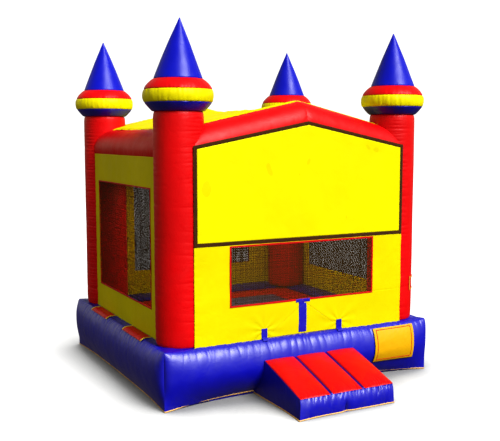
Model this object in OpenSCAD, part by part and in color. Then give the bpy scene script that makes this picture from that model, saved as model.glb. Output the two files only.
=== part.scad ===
// Inflatable bounce house: an air-filled base, four turret columns, a ring of beams,
// sewn walls with net windows, a gabled roof, a step ramp and a slit entrance.
// The origin is the centre of the base's footprint on the ground. The front faces -Y.
// Inflated chambers are hollow skins, closed by their end webs.

/* [Base] */
// Width of the base's footprint
base_w = 3960; // [3600:10:4600]
// Depth of the base's footprint
base_d = 3635; // [3300:10:4300]
// Height of the base tubes
base_h = 733; // [600:1:800]
// Width of a base tube, from the footprint's edge inwards
base_tube_w = 480; // [400:5:600]
// How far a base tube bulges out past the footprint
base_bulge = 100; // [40:5:140]
// Height of the bounce floor
floor_h = 700; // [560:5:730]

/* [Columns and beams] */
// Radius of a column
column_r = 313; // [260:1:340]
// Distance from the footprint's edge to a column's axis
column_inset = 367; // [350:1:420]
// Height of a column's top
column_top = 3589; // [3300:1:3800]
// Radius of the beams
beam_r = 270; // [220:1:280]
// Height of the gable beams' top at the ridge
ridge_h = 3750; // [3700:1:3900]
// Rise of the gable for each unit of width
gable_slope = 0.227; // [0.15:0.001:0.3]
// Height of the side beams' axis
side_beam_z = 3114; // [3000:1:3116]

/* [Turrets] */
// Radius at the top of the lower band
band_r = 414; // [380:1:440]
// Largest radius of the middle band
band_bulge_r = 433; // [420:1:460]
// Height of the top of the lower band
lower_band_top = 3696; // [3660:1:3760]
// Height of the top of the middle band
middle_band_top = 3849; // [3800:1:3900]
// Height of the top of the upper band
upper_band_top = 3979; // [3920:1:4040]
// Radius at the spire's foot
spire_r = 297; // [250:1:330]
// Height of the spire's tip
spire_top = 4702; // [4400:1:4900]

/* [Walls] */
// Thickness of a wall
wall_t = 8; // [6:1:12]
// Height of the walls' lower edge
wall_bottom = 750; // [740:1:780]
// Half the width of the front window
front_window_x = 1065; // [900:5:1200]
// Lower edge of the front window
front_window_low = 1192; // [1190:1:1300]
// Upper edge of the front window
front_window_high = 1928; // [1700:1:1950]
// Lower edge of the side and back windows
side_window_low = 1110; // [1000:5:1300]
// Upper edge of the side and back windows
side_window_high = 2630; // [2000:5:2700]
// Half the width of the side and back windows
side_window_half = 1050; // [800:5:1080]

/* [Entrance] */
// Half the width of the entrance slit at its foot
slit_half_w = 560; // [450:5:600]
// Height of the slit's upper end
slit_top = 1155; // [1100:1:1160]
// Clearance round each entrance flap
flap_gap = 8; // [7:0.5:10]

/* [Ramp] */
// Half the width of the ramp
ramp_half_w = 655; // [500:5:800]
// Distance that the ramp's front stands out from the base's footprint
ramp_reach = 972; // [800:1:1100]
// Height of the ramp's front face
ramp_front_h = 225; // [180:5:260]
// Height of the ramp where it meets the base
ramp_back_h = 462; // [400:1:500]

/* [Air inlet] */
// Distance from the middle of the back to the sleeve's axis
sleeve_x = 900; // [600:10:1200]
// Inner radius of the sleeve
sleeve_r = 140; // [120:5:160]
// Length of the sleeve
sleeve_len = 560; // [400:10:800]

/* [Hidden] */

// Skin thickness of the inflated chambers
skin = 5;
// Clearance between neighbouring sewn pieces
seam = 0.5;
// Sizes well past the object, for cutting tools
far = 6000;
half_w = base_w / 2;
half_d = base_d / 2;
column_x = half_w - column_inset;
column_y = half_d - column_inset;
left = -1;
right = 1;
front = -1;
back = 1;

red = "#e3000f";
blue = "#0a00c8";
yellow = "#fff200";
trim_red = "#c8102e";
dark = "#3a2a1a";
webbing = "#d9a441";
mesh_grey = [0.12, 0.12, 0.14, 0.6];

// ---- Base tubes ----

bulge_z = 420;
shoulder_in = 55;
profile_steps = 7;

// Cross-section of a base tube: outward distance and height, shrunk by t on every side
function base_profile(t) = let(k = (base_h - 2 * t) / base_h) concat(
  [[-base_tube_w + t, t], [-t, t]],
  [for (i = [1:profile_steps]) let(a = 90 * i / profile_steps)
    [base_bulge * sin(a) - t, t + k * bulge_z * i / profile_steps]],
  [for (i = [1:profile_steps]) let(a = 90 * i / profile_steps)
    [-shoulder_in - t + (base_bulge + shoulder_in) * cos(a), t + k * (bulge_z + (base_h - bulge_z) * sin(a))]],
  [[-base_tube_w + t, base_h - t]]);

// Half of a base tube's plan, seen from above: full bulge in the middle, none at the mitred corner
function tube_outline(half_len, half, t) = [
  [half_len - 450, -half - base_bulge - 1 + t], [half_len - 220, -half - 0.85 * base_bulge + t],
  [half_len - 80 - 2 * t, -half - 0.45 * base_bulge + t], [half_len - seam - 2.5 * t, -half + t],
  [half_len - 600 - seam - 1.5 * t, -half + 600]];

// A base tube along the side at distance half, mitred at both ends, shrunk by t
module base_tube_solid(half_len, half, t)
  intersection() {
    translate([0, -half, 0])
      rotate([90, 0, 90])
        linear_extrude(far, center = true)
          polygon([for (p = base_profile(t)) [-p.x, p.y]]);
    linear_extrude(base_h + 10)
      for (s = [left, right])
        polygon(concat([[-s, -half + 600], [-s, -half - base_bulge - 1 + t]],
          [for (p = tube_outline(half_len, half, t)) [s * p.x, p.y]]));
  }

module base_tube(half_len, half) {
  difference() {
    base_tube_solid(half_len, half, 0);
    base_tube_solid(half_len, half, skin);
  }
}

module base_front()
  color(blue) base_tube(half_w, half_d);

module base_back()
  color(blue) rotate(180) base_tube(half_w, half_d);

module base_left()
  color(blue) rotate(-90) base_tube(half_d, half_w);

module base_right()
  color(blue) rotate(90) base_tube(half_d, half_w);

// ---- Bounce floor ----

bed_x = half_w - base_tube_w - 1;
bed_y = half_d - base_tube_w - 1;
baffle_count = 5;
baffle_t = 4;

module centred_block(x, y, low, high)
  translate([-x, -y, low]) cube([2 * x, 2 * y, high - low]);

module bounce_floor()
  color("#5a5fa8") difference() {
    centred_block(bed_x, bed_y, 0, floor_h);
    centred_block(bed_x - skin, bed_y - skin, skin, floor_h - skin);
  }

// Upright webs that hold the floor's top flat
module floor_baffles()
  color("#b8b8c8")
    for (i = [1:baffle_count])
      translate([-bed_x + 2 * bed_x * i / (baffle_count + 1), 0, 0])
        centred_block(baffle_t / 2, bed_y - 60, skin, floor_h - skin);

// ---- Columns and turrets ----

spire_tip_r = 7;

module at_column(sx, sy)
  translate([sx * column_x, sy * column_y, 0]) children();

// A closed hollow cone frustum between two heights
module hollow_frustum(low, high, r_low, r_high)
  difference() {
    translate([0, 0, low]) cylinder(h = high - low, r1 = r_low, r2 = r_high, $fn = 64);
    translate([0, 0, low + skin])
      cylinder(h = high - low - 2 * skin, r1 = r_low - skin, r2 = r_high - skin, $fn = 64);
  }

module column(sx, sy)
  color(red) at_column(sx, sy) hollow_frustum(base_h, column_top, column_r, column_r);

module lower_band(sx, sy)
  color(blue) at_column(sx, sy) hollow_frustum(column_top, lower_band_top, column_r, band_r);

// Cross-section of the middle band's bulge, shrunk by t
function band_profile(t) = concat([[0, lower_band_top + t]],
  [for (i = [0:4]) let(k = i / 4)
    [band_r - t + (band_bulge_r - band_r) * sin(180 * k),
      lower_band_top + t + (middle_band_top - lower_band_top - 2 * t) * k]],
  [[0, middle_band_top - t]]);

module middle_band(sx, sy)
  color(yellow) at_column(sx, sy) difference() {
    rotate_extrude($fn = 64) polygon(band_profile(0));
    rotate_extrude($fn = 64) polygon(band_profile(skin));
  }

module upper_band(sx, sy)
  color(red) at_column(sx, sy) hollow_frustum(middle_band_top, upper_band_top, band_r, spire_r);

module spire(sx, sy)
  color(blue) at_column(sx, sy) hollow_frustum(upper_band_top, spire_top, spire_r, spire_tip_r);

module column_front_left() column(left, front);
module column_front_right() column(right, front);
module column_back_left() column(left, back);
module column_back_right() column(right, back);
module lower_band_front_left() lower_band(left, front);
module lower_band_front_right() lower_band(right, front);
module lower_band_back_left() lower_band(left, back);
module lower_band_back_right() lower_band(right, back);
module middle_band_front_left() middle_band(left, front);
module middle_band_front_right() middle_band(right, front);
module middle_band_back_left() middle_band(left, back);
module middle_band_back_right() middle_band(right, back);
module upper_band_front_left() upper_band(left, front);
module upper_band_front_right() upper_band(right, front);
module upper_band_back_left() upper_band(left, back);
module upper_band_back_right() upper_band(right, back);
module spire_front_left() spire(left, front);
module spire_front_right() spire(right, front);
module spire_back_left() spire(left, back);
module spire_back_right() spire(right, back);

// ---- Beams ----

gable_angle = atan(gable_slope);
gable_beam_y = half_d - 328.5;
gable_axis_z = ridge_h - beam_r / cos(gable_angle);
side_beam_x = half_w - 400;

module all_columns(r)
  for (sx = [left, right], sy = [front, back])
    at_column(sx, sy) cylinder(h = far, r = r, $fn = 64);

// The plan between the diagonals that run inwards from two columns, on the side facing -Y
module gable_zone(t)
  linear_extrude(far)
    polygon([[-column_x - t, -far], [column_x + t, -far], [column_x + t, -column_y - seam - t],
      [column_x - 800, -column_y + 800 - seam - t], [-column_x + 800, -column_y + 800 - seam - t],
      [-column_x - t, -column_y - seam - t]]);

// The same, on the side facing -X
module side_zone(t)
  linear_extrude(far)
    polygon([[-far, -column_y - t], [-column_x - seam - t, -column_y - t],
      [-column_x + 800 - seam - t, -column_y + 800], [-column_x + 800 - seam - t, column_y - 800],
      [-column_x - seam - t, column_y + t], [-far, column_y + t]]);

// Front gable beam as a solid, shrunk by t: two tubes mitred at the ridge
module gable_solid(t)
  difference() {
    intersection() {
      gable_zone(t);
      for (s = [left, right])
        intersection() {
          translate([0, -gable_beam_y, gable_axis_z])
            rotate([0, s * (90 + gable_angle), 0])
              cylinder(h = far, r = beam_r - t, center = true, $fn = 64);
          translate([s * far / 2, 0, 0]) cube([far, 2 * far, 2 * far], center = true);
        }
    }
    all_columns(column_r + seam + t);
  }

module side_solid(t)
  difference() {
    intersection() {
      side_zone(t);
      translate([-side_beam_x, 0, side_beam_z])
        rotate([90, 0, 0]) cylinder(h = base_d, r = beam_r - t, center = true, $fn = 64);
    }
    all_columns(column_r + seam + t);
  }

module gable_beam_front()
  color(red) difference() {
    gable_solid(0);
    gable_solid(skin);
  }

module gable_beam_back()
  color(red) rotate(180) difference() {
    gable_solid(0);
    gable_solid(skin);
  }

module side_beam_left()
  color(red) difference() {
    side_solid(0);
    side_solid(skin);
  }

module side_beam_right()
  color(red) rotate(180) difference() {
    side_solid(0);
    side_solid(skin);
  }

// ---- Roof ----

roof_t = 6;
roof_edge_x = side_beam_x + 20;
roof_edge_y = gable_beam_y + 20;
roof_chamfer_x = 460;
roof_chamfer_y = 540;

// Two sheets sewn at the ridge, chamfered where they pass the columns
module roof_cover()
  color(yellow)
    for (s = [left, right])
      intersection() {
        linear_extrude(far)
          polygon([[s * seam, -roof_edge_y], [s * (roof_edge_x - roof_chamfer_x), -roof_edge_y],
            [s * roof_edge_x, -roof_edge_y + roof_chamfer_y], [s * roof_edge_x, roof_edge_y - roof_chamfer_y],
            [s * (roof_edge_x - roof_chamfer_x), roof_edge_y], [s * seam, roof_edge_y]]);
        rotate([90, 0, 0])
          linear_extrude(far, center = true)
            polygon([[0, ridge_h + 1], [0, ridge_h + 1 + roof_t],
              [s * 2000, ridge_h + 1 + roof_t - 2000 * gable_slope], [s * 2000, ridge_h + 1 - 2000 * gable_slope]]);
      }

// ---- Walls ----

front_plane = half_d - 57.5;
front_wall_x = 1560;
side_plane = half_w - 140;
side_wall_y = column_y - 225;
side_wall_top = 3014;

function gable_line(x) = gable_axis_z - gable_slope * abs(x);

// A flat piece in the plane facing -Y: outline in x and z, from depth plane to plane - t
module front_sheet(plane, t, points)
  translate([0, -plane, 0]) rotate([90, 0, 0]) linear_extrude(t) polygon(points);

// The same on the side facing -X: outline in y and z
module side_sheet(plane, t, points)
  translate([-plane, 0, 0]) rotate([90, 0, -90]) linear_extrude(t) polygon([for (p = points) [-p.x, p.y]]);

function rect_points(x0, x1, z0, z1) = [[x0, z0], [x1, z0], [x1, z1], [x0, z1]];

function header_points(half, low) = [[-half, low], [half, low], [half, gable_line(half)],
  [0, gable_line(0)], [-half, gable_line(half)]];

// Half of the front wall's lower panel, cut back along the slanted side of the slit
function sill_points(s) = [[s * front_wall_x, wall_bottom], [s * slit_half_w, wall_bottom], [s * seam, slit_top],
  [s * seam, front_window_low - 1], [s * front_wall_x, front_window_low - 1]];

module front_wall()
  color(yellow) {
    front_sheet(front_plane, wall_t, header_points(front_wall_x, front_window_high + 1));
    for (s = [left, right]) {
      front_sheet(front_plane, wall_t, rect_points(s * front_wall_x, s * front_window_x,
        front_window_low, front_window_high));
      front_sheet(front_plane, wall_t, sill_points(s));
    }
  }

// Header, two jambs and a sill round the back window
module back_wall()
  color(yellow) rotate(180) {
    front_sheet(front_plane, wall_t, header_points(front_wall_x, side_window_high + 1));
    front_sheet(front_plane, wall_t, rect_points(-front_wall_x, front_wall_x, wall_bottom, side_window_low - 1));
    for (s = [left, right])
      front_sheet(front_plane, wall_t, rect_points(s * front_wall_x, s * side_window_half,
        side_window_low, side_window_high));
  }

module side_wall()
  color(yellow) {
    side_sheet(side_plane - wall_t, wall_t, rect_points(-side_wall_y, side_wall_y,
      side_window_high + 1, side_wall_top));
    side_sheet(side_plane - wall_t, wall_t, rect_points(-side_wall_y, side_wall_y,
      wall_bottom, side_window_low - 1));
    for (s = [left, right])
      side_sheet(side_plane - wall_t, wall_t, rect_points(s * side_wall_y, s * side_window_half,
        side_window_low, side_window_high));
  }

module left_wall() side_wall();
module right_wall() rotate(180) side_wall();

mesh_gap = 1;
mesh_t = 4;

module front_window_mesh()
  color(mesh_grey)
    front_sheet(front_plane + 2, mesh_t, rect_points(-front_window_x + mesh_gap, front_window_x - mesh_gap,
      front_window_low + mesh_gap, front_window_high - mesh_gap));

module back_window_mesh()
  color(mesh_grey) rotate(180)
    front_sheet(front_plane + 2, mesh_t, rect_points(-side_window_half + mesh_gap, side_window_half - mesh_gap,
      side_window_low + mesh_gap, side_window_high - mesh_gap));

module side_window_mesh()
  color(mesh_grey)
    side_sheet(side_plane - wall_t + 2, mesh_t, rect_points(-side_window_half + mesh_gap,
      side_window_half - mesh_gap, side_window_low + mesh_gap, side_window_high - mesh_gap));

module left_window_mesh() side_window_mesh();
module right_window_mesh() rotate(180) side_window_mesh();

trim_w = 26;
trim_t = 4;

// A flat frame of trim_w round an opening, lying on a wall's outer face
module window_trim(half, low, high)
  rotate([90, 0, 0]) linear_extrude(trim_t) difference() {
    polygon(rect_points(-half - trim_w, half + trim_w, low - trim_w, high + trim_w));
    polygon(rect_points(-half, half, low, high));
  }

module window_trims()
  color(trim_red) {
    translate([0, -front_plane - wall_t, 0]) window_trim(front_window_x, front_window_low, front_window_high);
    rotate(180) translate([0, -front_plane - wall_t, 0])
      window_trim(side_window_half, side_window_low, side_window_high);
    for (turn = [-90, 90])
      rotate(turn) translate([0, -side_plane, 0]) window_trim(side_window_half, side_window_low, side_window_high);
  }

// ---- Banner above the window ----

banner_low = 2002;
banner_side_z = 3136;
banner_apex_z = 3434;
banner_half = 1515;
banner_border = 34;

function banner_points(grow) = [[-banner_half - grow, banner_low - grow], [banner_half + grow, banner_low - grow],
  [banner_half + grow, banner_side_z + grow], [0, banner_apex_z + grow],
  [-banner_half - grow, banner_side_z + grow]];

module banner_panel()
  color(yellow) front_sheet(front_plane + wall_t, 4, banner_points(0));

module banner_frame()
  color(dark) difference() {
    front_sheet(front_plane + wall_t, 5, banner_points(banner_border));
    front_sheet(front_plane + wall_t - 1, 8, banner_points(0.5));
  }

// ---- Entrance ----

flap_t = 6;
flap_plane = front_plane + 1;
slant = atan((slit_top - wall_bottom) / slit_half_w);

// A flap's outline: its slanted edge carries the hinge line, flap_gap away from the lower panel
function flap_points(s) = [[s * (slit_half_w - flap_gap / sin(slant)), wall_bottom],
  [s * 2, wall_bottom], [s * 2, slit_top - flap_gap / cos(slant)]];

module entrance_flap_left()
  color(yellow) front_sheet(flap_plane, flap_t, flap_points(left));

module entrance_flap_right()
  color(yellow) front_sheet(flap_plane, flap_t, flap_points(right));

cover_strip_left = 85;
cover_strip_right = 30;
cover_strip_top = slit_top - 20;
cover_strip_margin = 20;

// Blue strip sewn to the left flap, lying over the slit in front of the right flap.
// Its upper left corner is cut off below the hinge line.
module slit_cover_strip()
  color(blue)
    front_sheet(front_plane + wall_t + seam, 4, [[-cover_strip_left, wall_bottom + 6],
      [cover_strip_right, wall_bottom + 6], [cover_strip_right, cover_strip_top], [-2, cover_strip_top],
      [-cover_strip_left, slit_top - cover_strip_left * tan(slant) - cover_strip_margin]]);

// Blue patch sewn over the slit's upper end and the window's trim
module slit_top_patch()
  color(blue)
    front_sheet(front_plane + wall_t + trim_t + seam, 3, rect_points(-130, 80, slit_top - 3, slit_top + 40));

strap_places = [-slit_half_w - 35, slit_half_w - 20];
strap_w = 88;

// Blue straps that hold the lower panel's corners down on the base
module entrance_straps()
  color(blue)
    for (x = strap_places)
      translate([x - strap_w / 2, 0, 0]) {
        translate([0, -front_plane - wall_t - 4, base_h + 2]) cube([strap_w, 4, 125]);
        translate([0, -front_plane - wall_t - 4, base_h + 0.5]) cube([strap_w, 60, 4]);
      }

// ---- Patches on the base ----

patch_y = 700;
patch_half_w = 330;
patch_t = 4;
webbing_w = 40;
patch_tuck = 78;
// Step of the shoulder's profile at which the patches end
patch_step = round(profile_steps * 0.72);

// The outside of the base tube's profile between two steps, as a strip from t0 to t1 off it
function shoulder_points(t0, t1, first, last) = concat(
  [for (i = [first:last]) shoulder_point(i, t0)],
  [for (i = [last:-1:first]) shoulder_point(i, t1)]);

// A point of that outside: steps below 0 lie under the bulge, and the step after the last one
// runs inwards to a side wall's foot
function shoulder_point(i, t) = let(a = 90 * min(i, profile_steps) / profile_steps)
  i < 0 ? [base_bulge * cos(a) + t, bulge_z * (profile_steps + i) / profile_steps] :
  [-shoulder_in - (i > profile_steps ? patch_tuck : 0) + (base_bulge + shoulder_in + t) * cos(a),
    bulge_z + (base_h - bulge_z + t) * sin(a)];

// A strip of the shoulder's shape on the side facing -X, from y0 to y1
module shoulder_strip(half, t0, t1, first, last, low, high)
  translate([-half, 0, 0]) rotate([90, 0, 180])
    translate([0, 0, low]) linear_extrude(high - low) polygon(shoulder_points(t0, t1, first, last));

module wall_anchor_patches()
  color(trim_red)
    for (turn = [0, 180], s = [left, right])
      rotate(turn) {
        shoulder_strip(half_w, 1, 1 + patch_t, patch_step, profile_steps + 1, s * patch_y - patch_half_w,
          s * patch_y + patch_half_w);
        for (e = [left, right])
          color(webbing) shoulder_strip(half_w, 1, 2 + patch_t, patch_step, profile_steps + 1,
            s * patch_y + e * (patch_half_w + webbing_w / 2 + 1) - webbing_w / 2,
            s * patch_y + e * (patch_half_w + webbing_w / 2 + 1) + webbing_w / 2);
      }

rules_x = 1370;
rules_half_w = 335;

// Plain patch on the front right of the base
module rules_patch()
  color(webbing)
    rotate(90)
      shoulder_strip(half_d, 1, 4, -3, 5, -rules_x - rules_half_w, -rules_x + rules_half_w);

loop_z = 1140;
loop_h = 200;
loop_w = 150;
loop_end_h = 36;
loop_stand = 22;
loop_t = 4;

// Webbing loops on the outer sides of the right-hand columns: each is sewn down at both ends
module tether_loops()
  color("#e8871e")
    for (s = [front, back])
      translate([column_x + column_r + seam, s * column_y - loop_w / 2, loop_z])
        difference() {
          cube([loop_stand, loop_w, loop_h]);
          translate([-1, -1, loop_end_h]) cube([loop_stand - loop_t + 1, loop_w + 2, loop_h - 2 * loop_end_h]);
          translate([loop_stand - loop_t, -1, -1]) cube([loop_t + 1, 46, loop_h + 2]);
          translate([loop_stand - loop_t, loop_w - 45, -1]) cube([loop_t + 1, 46, loop_h + 2]);
        }

// ---- Ramp ----

ramp_front_y = half_d + ramp_reach;
ramp_back_y = half_d + base_bulge + 2;
ramp_slope = atan((ramp_back_h - ramp_front_h) / (ramp_front_y - ramp_back_y));

// Side outline of the ramp, shrunk by t
function ramp_points(t) = [[-ramp_front_y + t, t], [-ramp_back_y - t, t], [-ramp_back_y - t, ramp_back_h - t],
  [-ramp_front_y + t, ramp_front_h - t]];

module ramp_slab(t)
  rotate([90, 0, 90]) linear_extrude(2 * (ramp_half_w - t), center = true) polygon(ramp_points(t));

module ramp_body()
  color(blue) difference() {
    ramp_slab(0);
    ramp_slab(skin);
  }

tread_gap = 24;
tread_t = 28;
tread_w = (2 * ramp_half_w - 2 * tread_gap) / 3;

// Three padded panels lying on the slope
module ramp_treads()
  color(red)
    for (i = [-1:1])
      translate([i * (tread_w + tread_gap) - tread_w / 2, -ramp_front_y, ramp_front_h + 1])
        rotate([ramp_slope, 0, 0])
          translate([0, 6, 0]) cube([tread_w, (ramp_front_y - ramp_back_y) / cos(ramp_slope) - 20, tread_t]);

// ---- Ground piping ----

piping_w = 14;
piping_h = 6;

module footprint(grow)
  polygon([[-half_w - grow, -half_d - grow], [half_w + grow, -half_d - grow],
    [half_w + grow, half_d + grow], [-half_w - grow, half_d + grow]]);

module ramp_footprint(grow)
  translate([-ramp_half_w - grow, -ramp_front_y - grow])
    square([2 * (ramp_half_w + grow), ramp_reach + grow]);

// Corded webbing along the foot of the base and the ramp
module bottom_piping()
  color(webbing) linear_extrude(piping_h) difference() {
    union() {
      footprint(3 + piping_w);
      ramp_footprint(2 + piping_w);
    }
    footprint(3);
    ramp_footprint(2);
    translate([sleeve_x, half_d + 10]) square([2 * sleeve_r + 20, 40], center = true);
  }

// ---- Air inlet ----

sleeve_wall = 4;
sleeve_foot_r = sleeve_r + 2;
sleeve_z = sleeve_r + sleeve_wall + 14;
sleeve_start = half_d + base_bulge + 6;
strap_y = sleeve_start + 130;

// The sleeve's round wall, with a flared foot sewn to the base behind it
module air_inlet_sleeve()
  color(blue) {
    translate([sleeve_x, sleeve_start, sleeve_z]) rotate([-90, 0, 0]) difference() {
      cylinder(h = sleeve_len, r = sleeve_r + sleeve_wall, $fn = 64);
      translate([0, 0, -1]) cylinder(h = sleeve_len + 2, r = sleeve_r, $fn = 64);
    }
    difference() {
      translate([sleeve_x, half_d, sleeve_z]) rotate([-90, 0, 0]) difference() {
        cylinder(h = sleeve_start - half_d, r = sleeve_r + 2 * sleeve_wall, $fn = 64);
        translate([0, 0, -1]) cylinder(h = base_d, r = sleeve_foot_r, $fn = 64);
      }
      rotate(180) base_tube_solid(half_w, half_d, -seam);
    }
  }

// Tie strap round the sleeve with its buckle on top
module inlet_strap()
  color("#202020")
    translate([sleeve_x, strap_y, sleeve_z]) {
      rotate([-90, 0, 0]) difference() {
        cylinder(h = 38, r = sleeve_r + sleeve_wall + 3.5, $fn = 64);
        translate([0, 0, -1]) cylinder(h = 40, r = sleeve_r + sleeve_wall + 0.5, $fn = 64);
      }
      translate([-28, -4, sleeve_r + sleeve_wall + 4]) cube([56, 46, 12]);
    }

// ---- Anchors at the back ----

ring_bar_z = 150;
ring_x = 1560;
ring_wire_r = 4;
ring_half_w = 30;
ring_drop = 46;
ring_y = half_d + base_bulge + 20;
eye_r = ring_wire_r + 0.08;

// Webbing tab with a round loop that holds the ring's bar
module anchor_tab(sx)
  translate([sx * ring_x, 0, 0]) {
    translate([-22, ring_y, ring_bar_z]) rotate([0, 90, 0]) difference() {
      union() {
        cylinder(h = 44, r = eye_r + 3, $fn = 32);
        translate([-90, -eye_r - 3, 0]) cube([90, 3, 44]);
      }
      translate([0, 0, -1]) cylinder(h = 46, r = eye_r, $fn = 32);
    }
    difference() {
      translate([-22, half_d + 20, ring_bar_z + 60]) cube([44, ring_y - half_d - eye_r - 23, 30]);
      rotate(180) base_tube_solid(half_w, half_d, -seam);
    }
  }

module anchor_tabs()
  color(webbing)
    for (sx = [left, right]) anchor_tab(sx);

// Steel D-ring that hangs from its straight bar
module d_ring(sx)
  color("silver") translate([sx * ring_x, ring_y, ring_bar_z]) {
    rotate([0, 90, 0]) cylinder(h = 2 * ring_half_w, r = ring_wire_r, center = true, $fn = 32);
    for (s = [left, right])
      translate([s * ring_half_w, 0, 0]) {
        sphere(r = ring_wire_r, $fn = 32);
        translate([0, 0, -ring_drop + ring_half_w]) cylinder(h = ring_drop - ring_half_w, r = ring_wire_r, $fn = 32);
      }
    translate([0, 0, -ring_drop + ring_half_w]) rotate([90, 0, 0]) intersection() {
      rotate_extrude($fn = 64) translate([ring_half_w, 0]) circle(r = ring_wire_r, $fn = 32);
      translate([-far / 2, -far, -far / 2]) cube([far, far, far]);
    }
  }

module d_ring_left() d_ring(left);
module d_ring_right() d_ring(right);

// ---- Deflation zip ----

zip_x = -700;
zip_len = 520;
zip_z = bulge_z;
zip_y = half_d + base_bulge;

// Closed zip along the back of the base, for letting the air out
module zip_closure()
  color("#101010")
    translate([zip_x - zip_len / 2, zip_y + 1, zip_z - 18]) {
      cube([zip_len, 3, 36]);
      translate([0, 3, 15]) cube([zip_len, 3, 6]);
      for (x = [0, zip_len - 8]) translate([x, 3, 11]) cube([8, 9, 14]);
    }

// Slider with its pull
module zip_slider()
  color("silver")
    translate([zip_x - zip_len / 2 + 10, zip_y + 8, zip_z])
      difference() {
        union() {
          translate([0, 0, -9]) cube([26, 6, 18]);
          translate([8, 5, -40]) cube([10, 2.5, 44]);
        }
        translate([13, 10, -34]) rotate([90, 0, 0]) cylinder(h = 20, r = 2.5, $fn = 24);
      }

base_front();
base_back();
base_left();
base_right();
bounce_floor();
floor_baffles();
column_front_left();
column_front_right();
column_back_left();
column_back_right();
lower_band_front_left();
lower_band_front_right();
lower_band_back_left();
lower_band_back_right();
middle_band_front_left();
middle_band_front_right();
middle_band_back_left();
middle_band_back_right();
upper_band_front_left();
upper_band_front_right();
upper_band_back_left();
upper_band_back_right();
spire_front_left();
spire_front_right();
spire_back_left();
spire_back_right();
gable_beam_front();
gable_beam_back();
side_beam_left();
side_beam_right();
roof_cover();
front_wall();
back_wall();
left_wall();
right_wall();
banner_panel();
banner_frame();
front_window_mesh();
back_window_mesh();
left_window_mesh();
right_window_mesh();
window_trims();
slit_top_patch();
entrance_flap_left();
slit_cover_strip();
entrance_flap_right();
entrance_straps();
wall_anchor_patches();
rules_patch();
tether_loops();
ramp_body();
ramp_treads();
bottom_piping();
air_inlet_sleeve();
inlet_strap();
anchor_tabs();
d_ring_left();
d_ring_right();
zip_closure();
zip_slider();
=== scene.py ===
"""Looks of the inflatable bounce house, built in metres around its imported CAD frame."""

import math
from typing import NamedTuple

import bmesh
import bpy
import numpy as np
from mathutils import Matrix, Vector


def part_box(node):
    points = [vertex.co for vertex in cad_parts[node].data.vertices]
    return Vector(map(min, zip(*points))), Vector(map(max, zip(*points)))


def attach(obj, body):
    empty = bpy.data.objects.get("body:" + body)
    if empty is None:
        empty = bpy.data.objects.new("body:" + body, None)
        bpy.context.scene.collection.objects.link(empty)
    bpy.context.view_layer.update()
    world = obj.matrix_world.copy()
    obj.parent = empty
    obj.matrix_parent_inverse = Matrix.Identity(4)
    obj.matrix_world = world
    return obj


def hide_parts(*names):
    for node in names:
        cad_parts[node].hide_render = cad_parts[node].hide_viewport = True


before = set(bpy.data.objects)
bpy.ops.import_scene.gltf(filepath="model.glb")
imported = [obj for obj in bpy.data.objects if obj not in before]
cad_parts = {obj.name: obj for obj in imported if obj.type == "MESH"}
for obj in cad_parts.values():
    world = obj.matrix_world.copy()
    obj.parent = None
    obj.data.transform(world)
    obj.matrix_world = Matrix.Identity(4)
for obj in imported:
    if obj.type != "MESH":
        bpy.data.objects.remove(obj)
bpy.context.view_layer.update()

# ---- Sizes taken from the frame ----

BULGE = 0.10  # how far a base tube bulges past the footprint
SHOULDER = 0.055  # how far in from the footprint the base's top seam lies
BULGE_Z = 0.42  # height of the base's widest line


def low(node):
    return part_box(node)[0]


def high(node):
    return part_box(node)[1]


def span(node, axis):
    """A node's lowest and highest place along one axis."""
    return getattr(low(node), axis), getattr(high(node), axis)


HALF_W = high("base_right").x - BULGE
HALF_D = high("base_back").y - BULGE
BASE_H = high("base_front").z
TUBE_W = 0.48  # depth of a base tube from the footprint inwards
FLOOR_Z = high("bounce_floor").z
COLUMN_R = (high("column_front_right").x - low("column_front_right").x) / 2
COLUMN_X = high("column_front_right").x - COLUMN_R
COLUMN_Y = high("column_back_right").y - COLUMN_R
COLUMN_TOP = high("column_front_right").z
RIDGE_Z = high("gable_beam_front").z
BEAM_R = (high("side_beam_left").z - low("side_beam_left").z) / 2
SIDE_BEAM_Z = high("side_beam_left").z - BEAM_R
SIDE_BEAM_X = high("side_beam_right").x - BEAM_R
GABLE_Y = -low("gable_beam_front").y - BEAM_R
GABLE_SLOPE = 0.227  # rise per metre of the gables
GABLE_COS = math.cos(math.atan(GABLE_SLOPE))
FRONT_PLANE = -low("front_wall").y
SIDE_PLANE = -low("left_wall").x
WALL_LOW = low("front_wall").z
WALL_EAVES = 2.70  # where a gable wall's slanted top begins
FOOT_TUCK = 0.045  # how far the walls run down behind the base's top seam
WALL_HALF = high("front_wall").x
SIDE_WALL_HALF = high("left_wall").y
SIDE_WALL_TOP = high("left_wall").z

# ---- Small mathematics ----


def turned(points, degrees):
    """Points of an (..., 3) array turned about Z."""
    c, s = math.cos(math.radians(degrees)), math.sin(math.radians(degrees))
    out = np.array(points, float)
    out[..., 0], out[..., 1] = (
        c * points[..., 0] - s * points[..., 1],
        s * points[..., 0] + c * points[..., 1],
    )
    return out


def points_of(x, y, z):
    """Points from three coordinates, each an array or one number."""
    return np.stack(np.broadcast_arrays(x, y, z), -1).astype(float)


def grid_of(a, b):
    """Two arrays of a grid: a runs down it and b runs across."""
    return np.meshgrid(a, b, indexing="ij")


def smooth(t):
    """0 below 0, 1 above 1, and a soft step between."""
    t = np.clip(t, 0, 1)
    return t * t * (3 - 2 * t)


def bell(distance, width):
    """1 at distance 0, falling to nothing a few widths away."""
    return np.exp(-((distance / width) ** 2))


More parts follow.
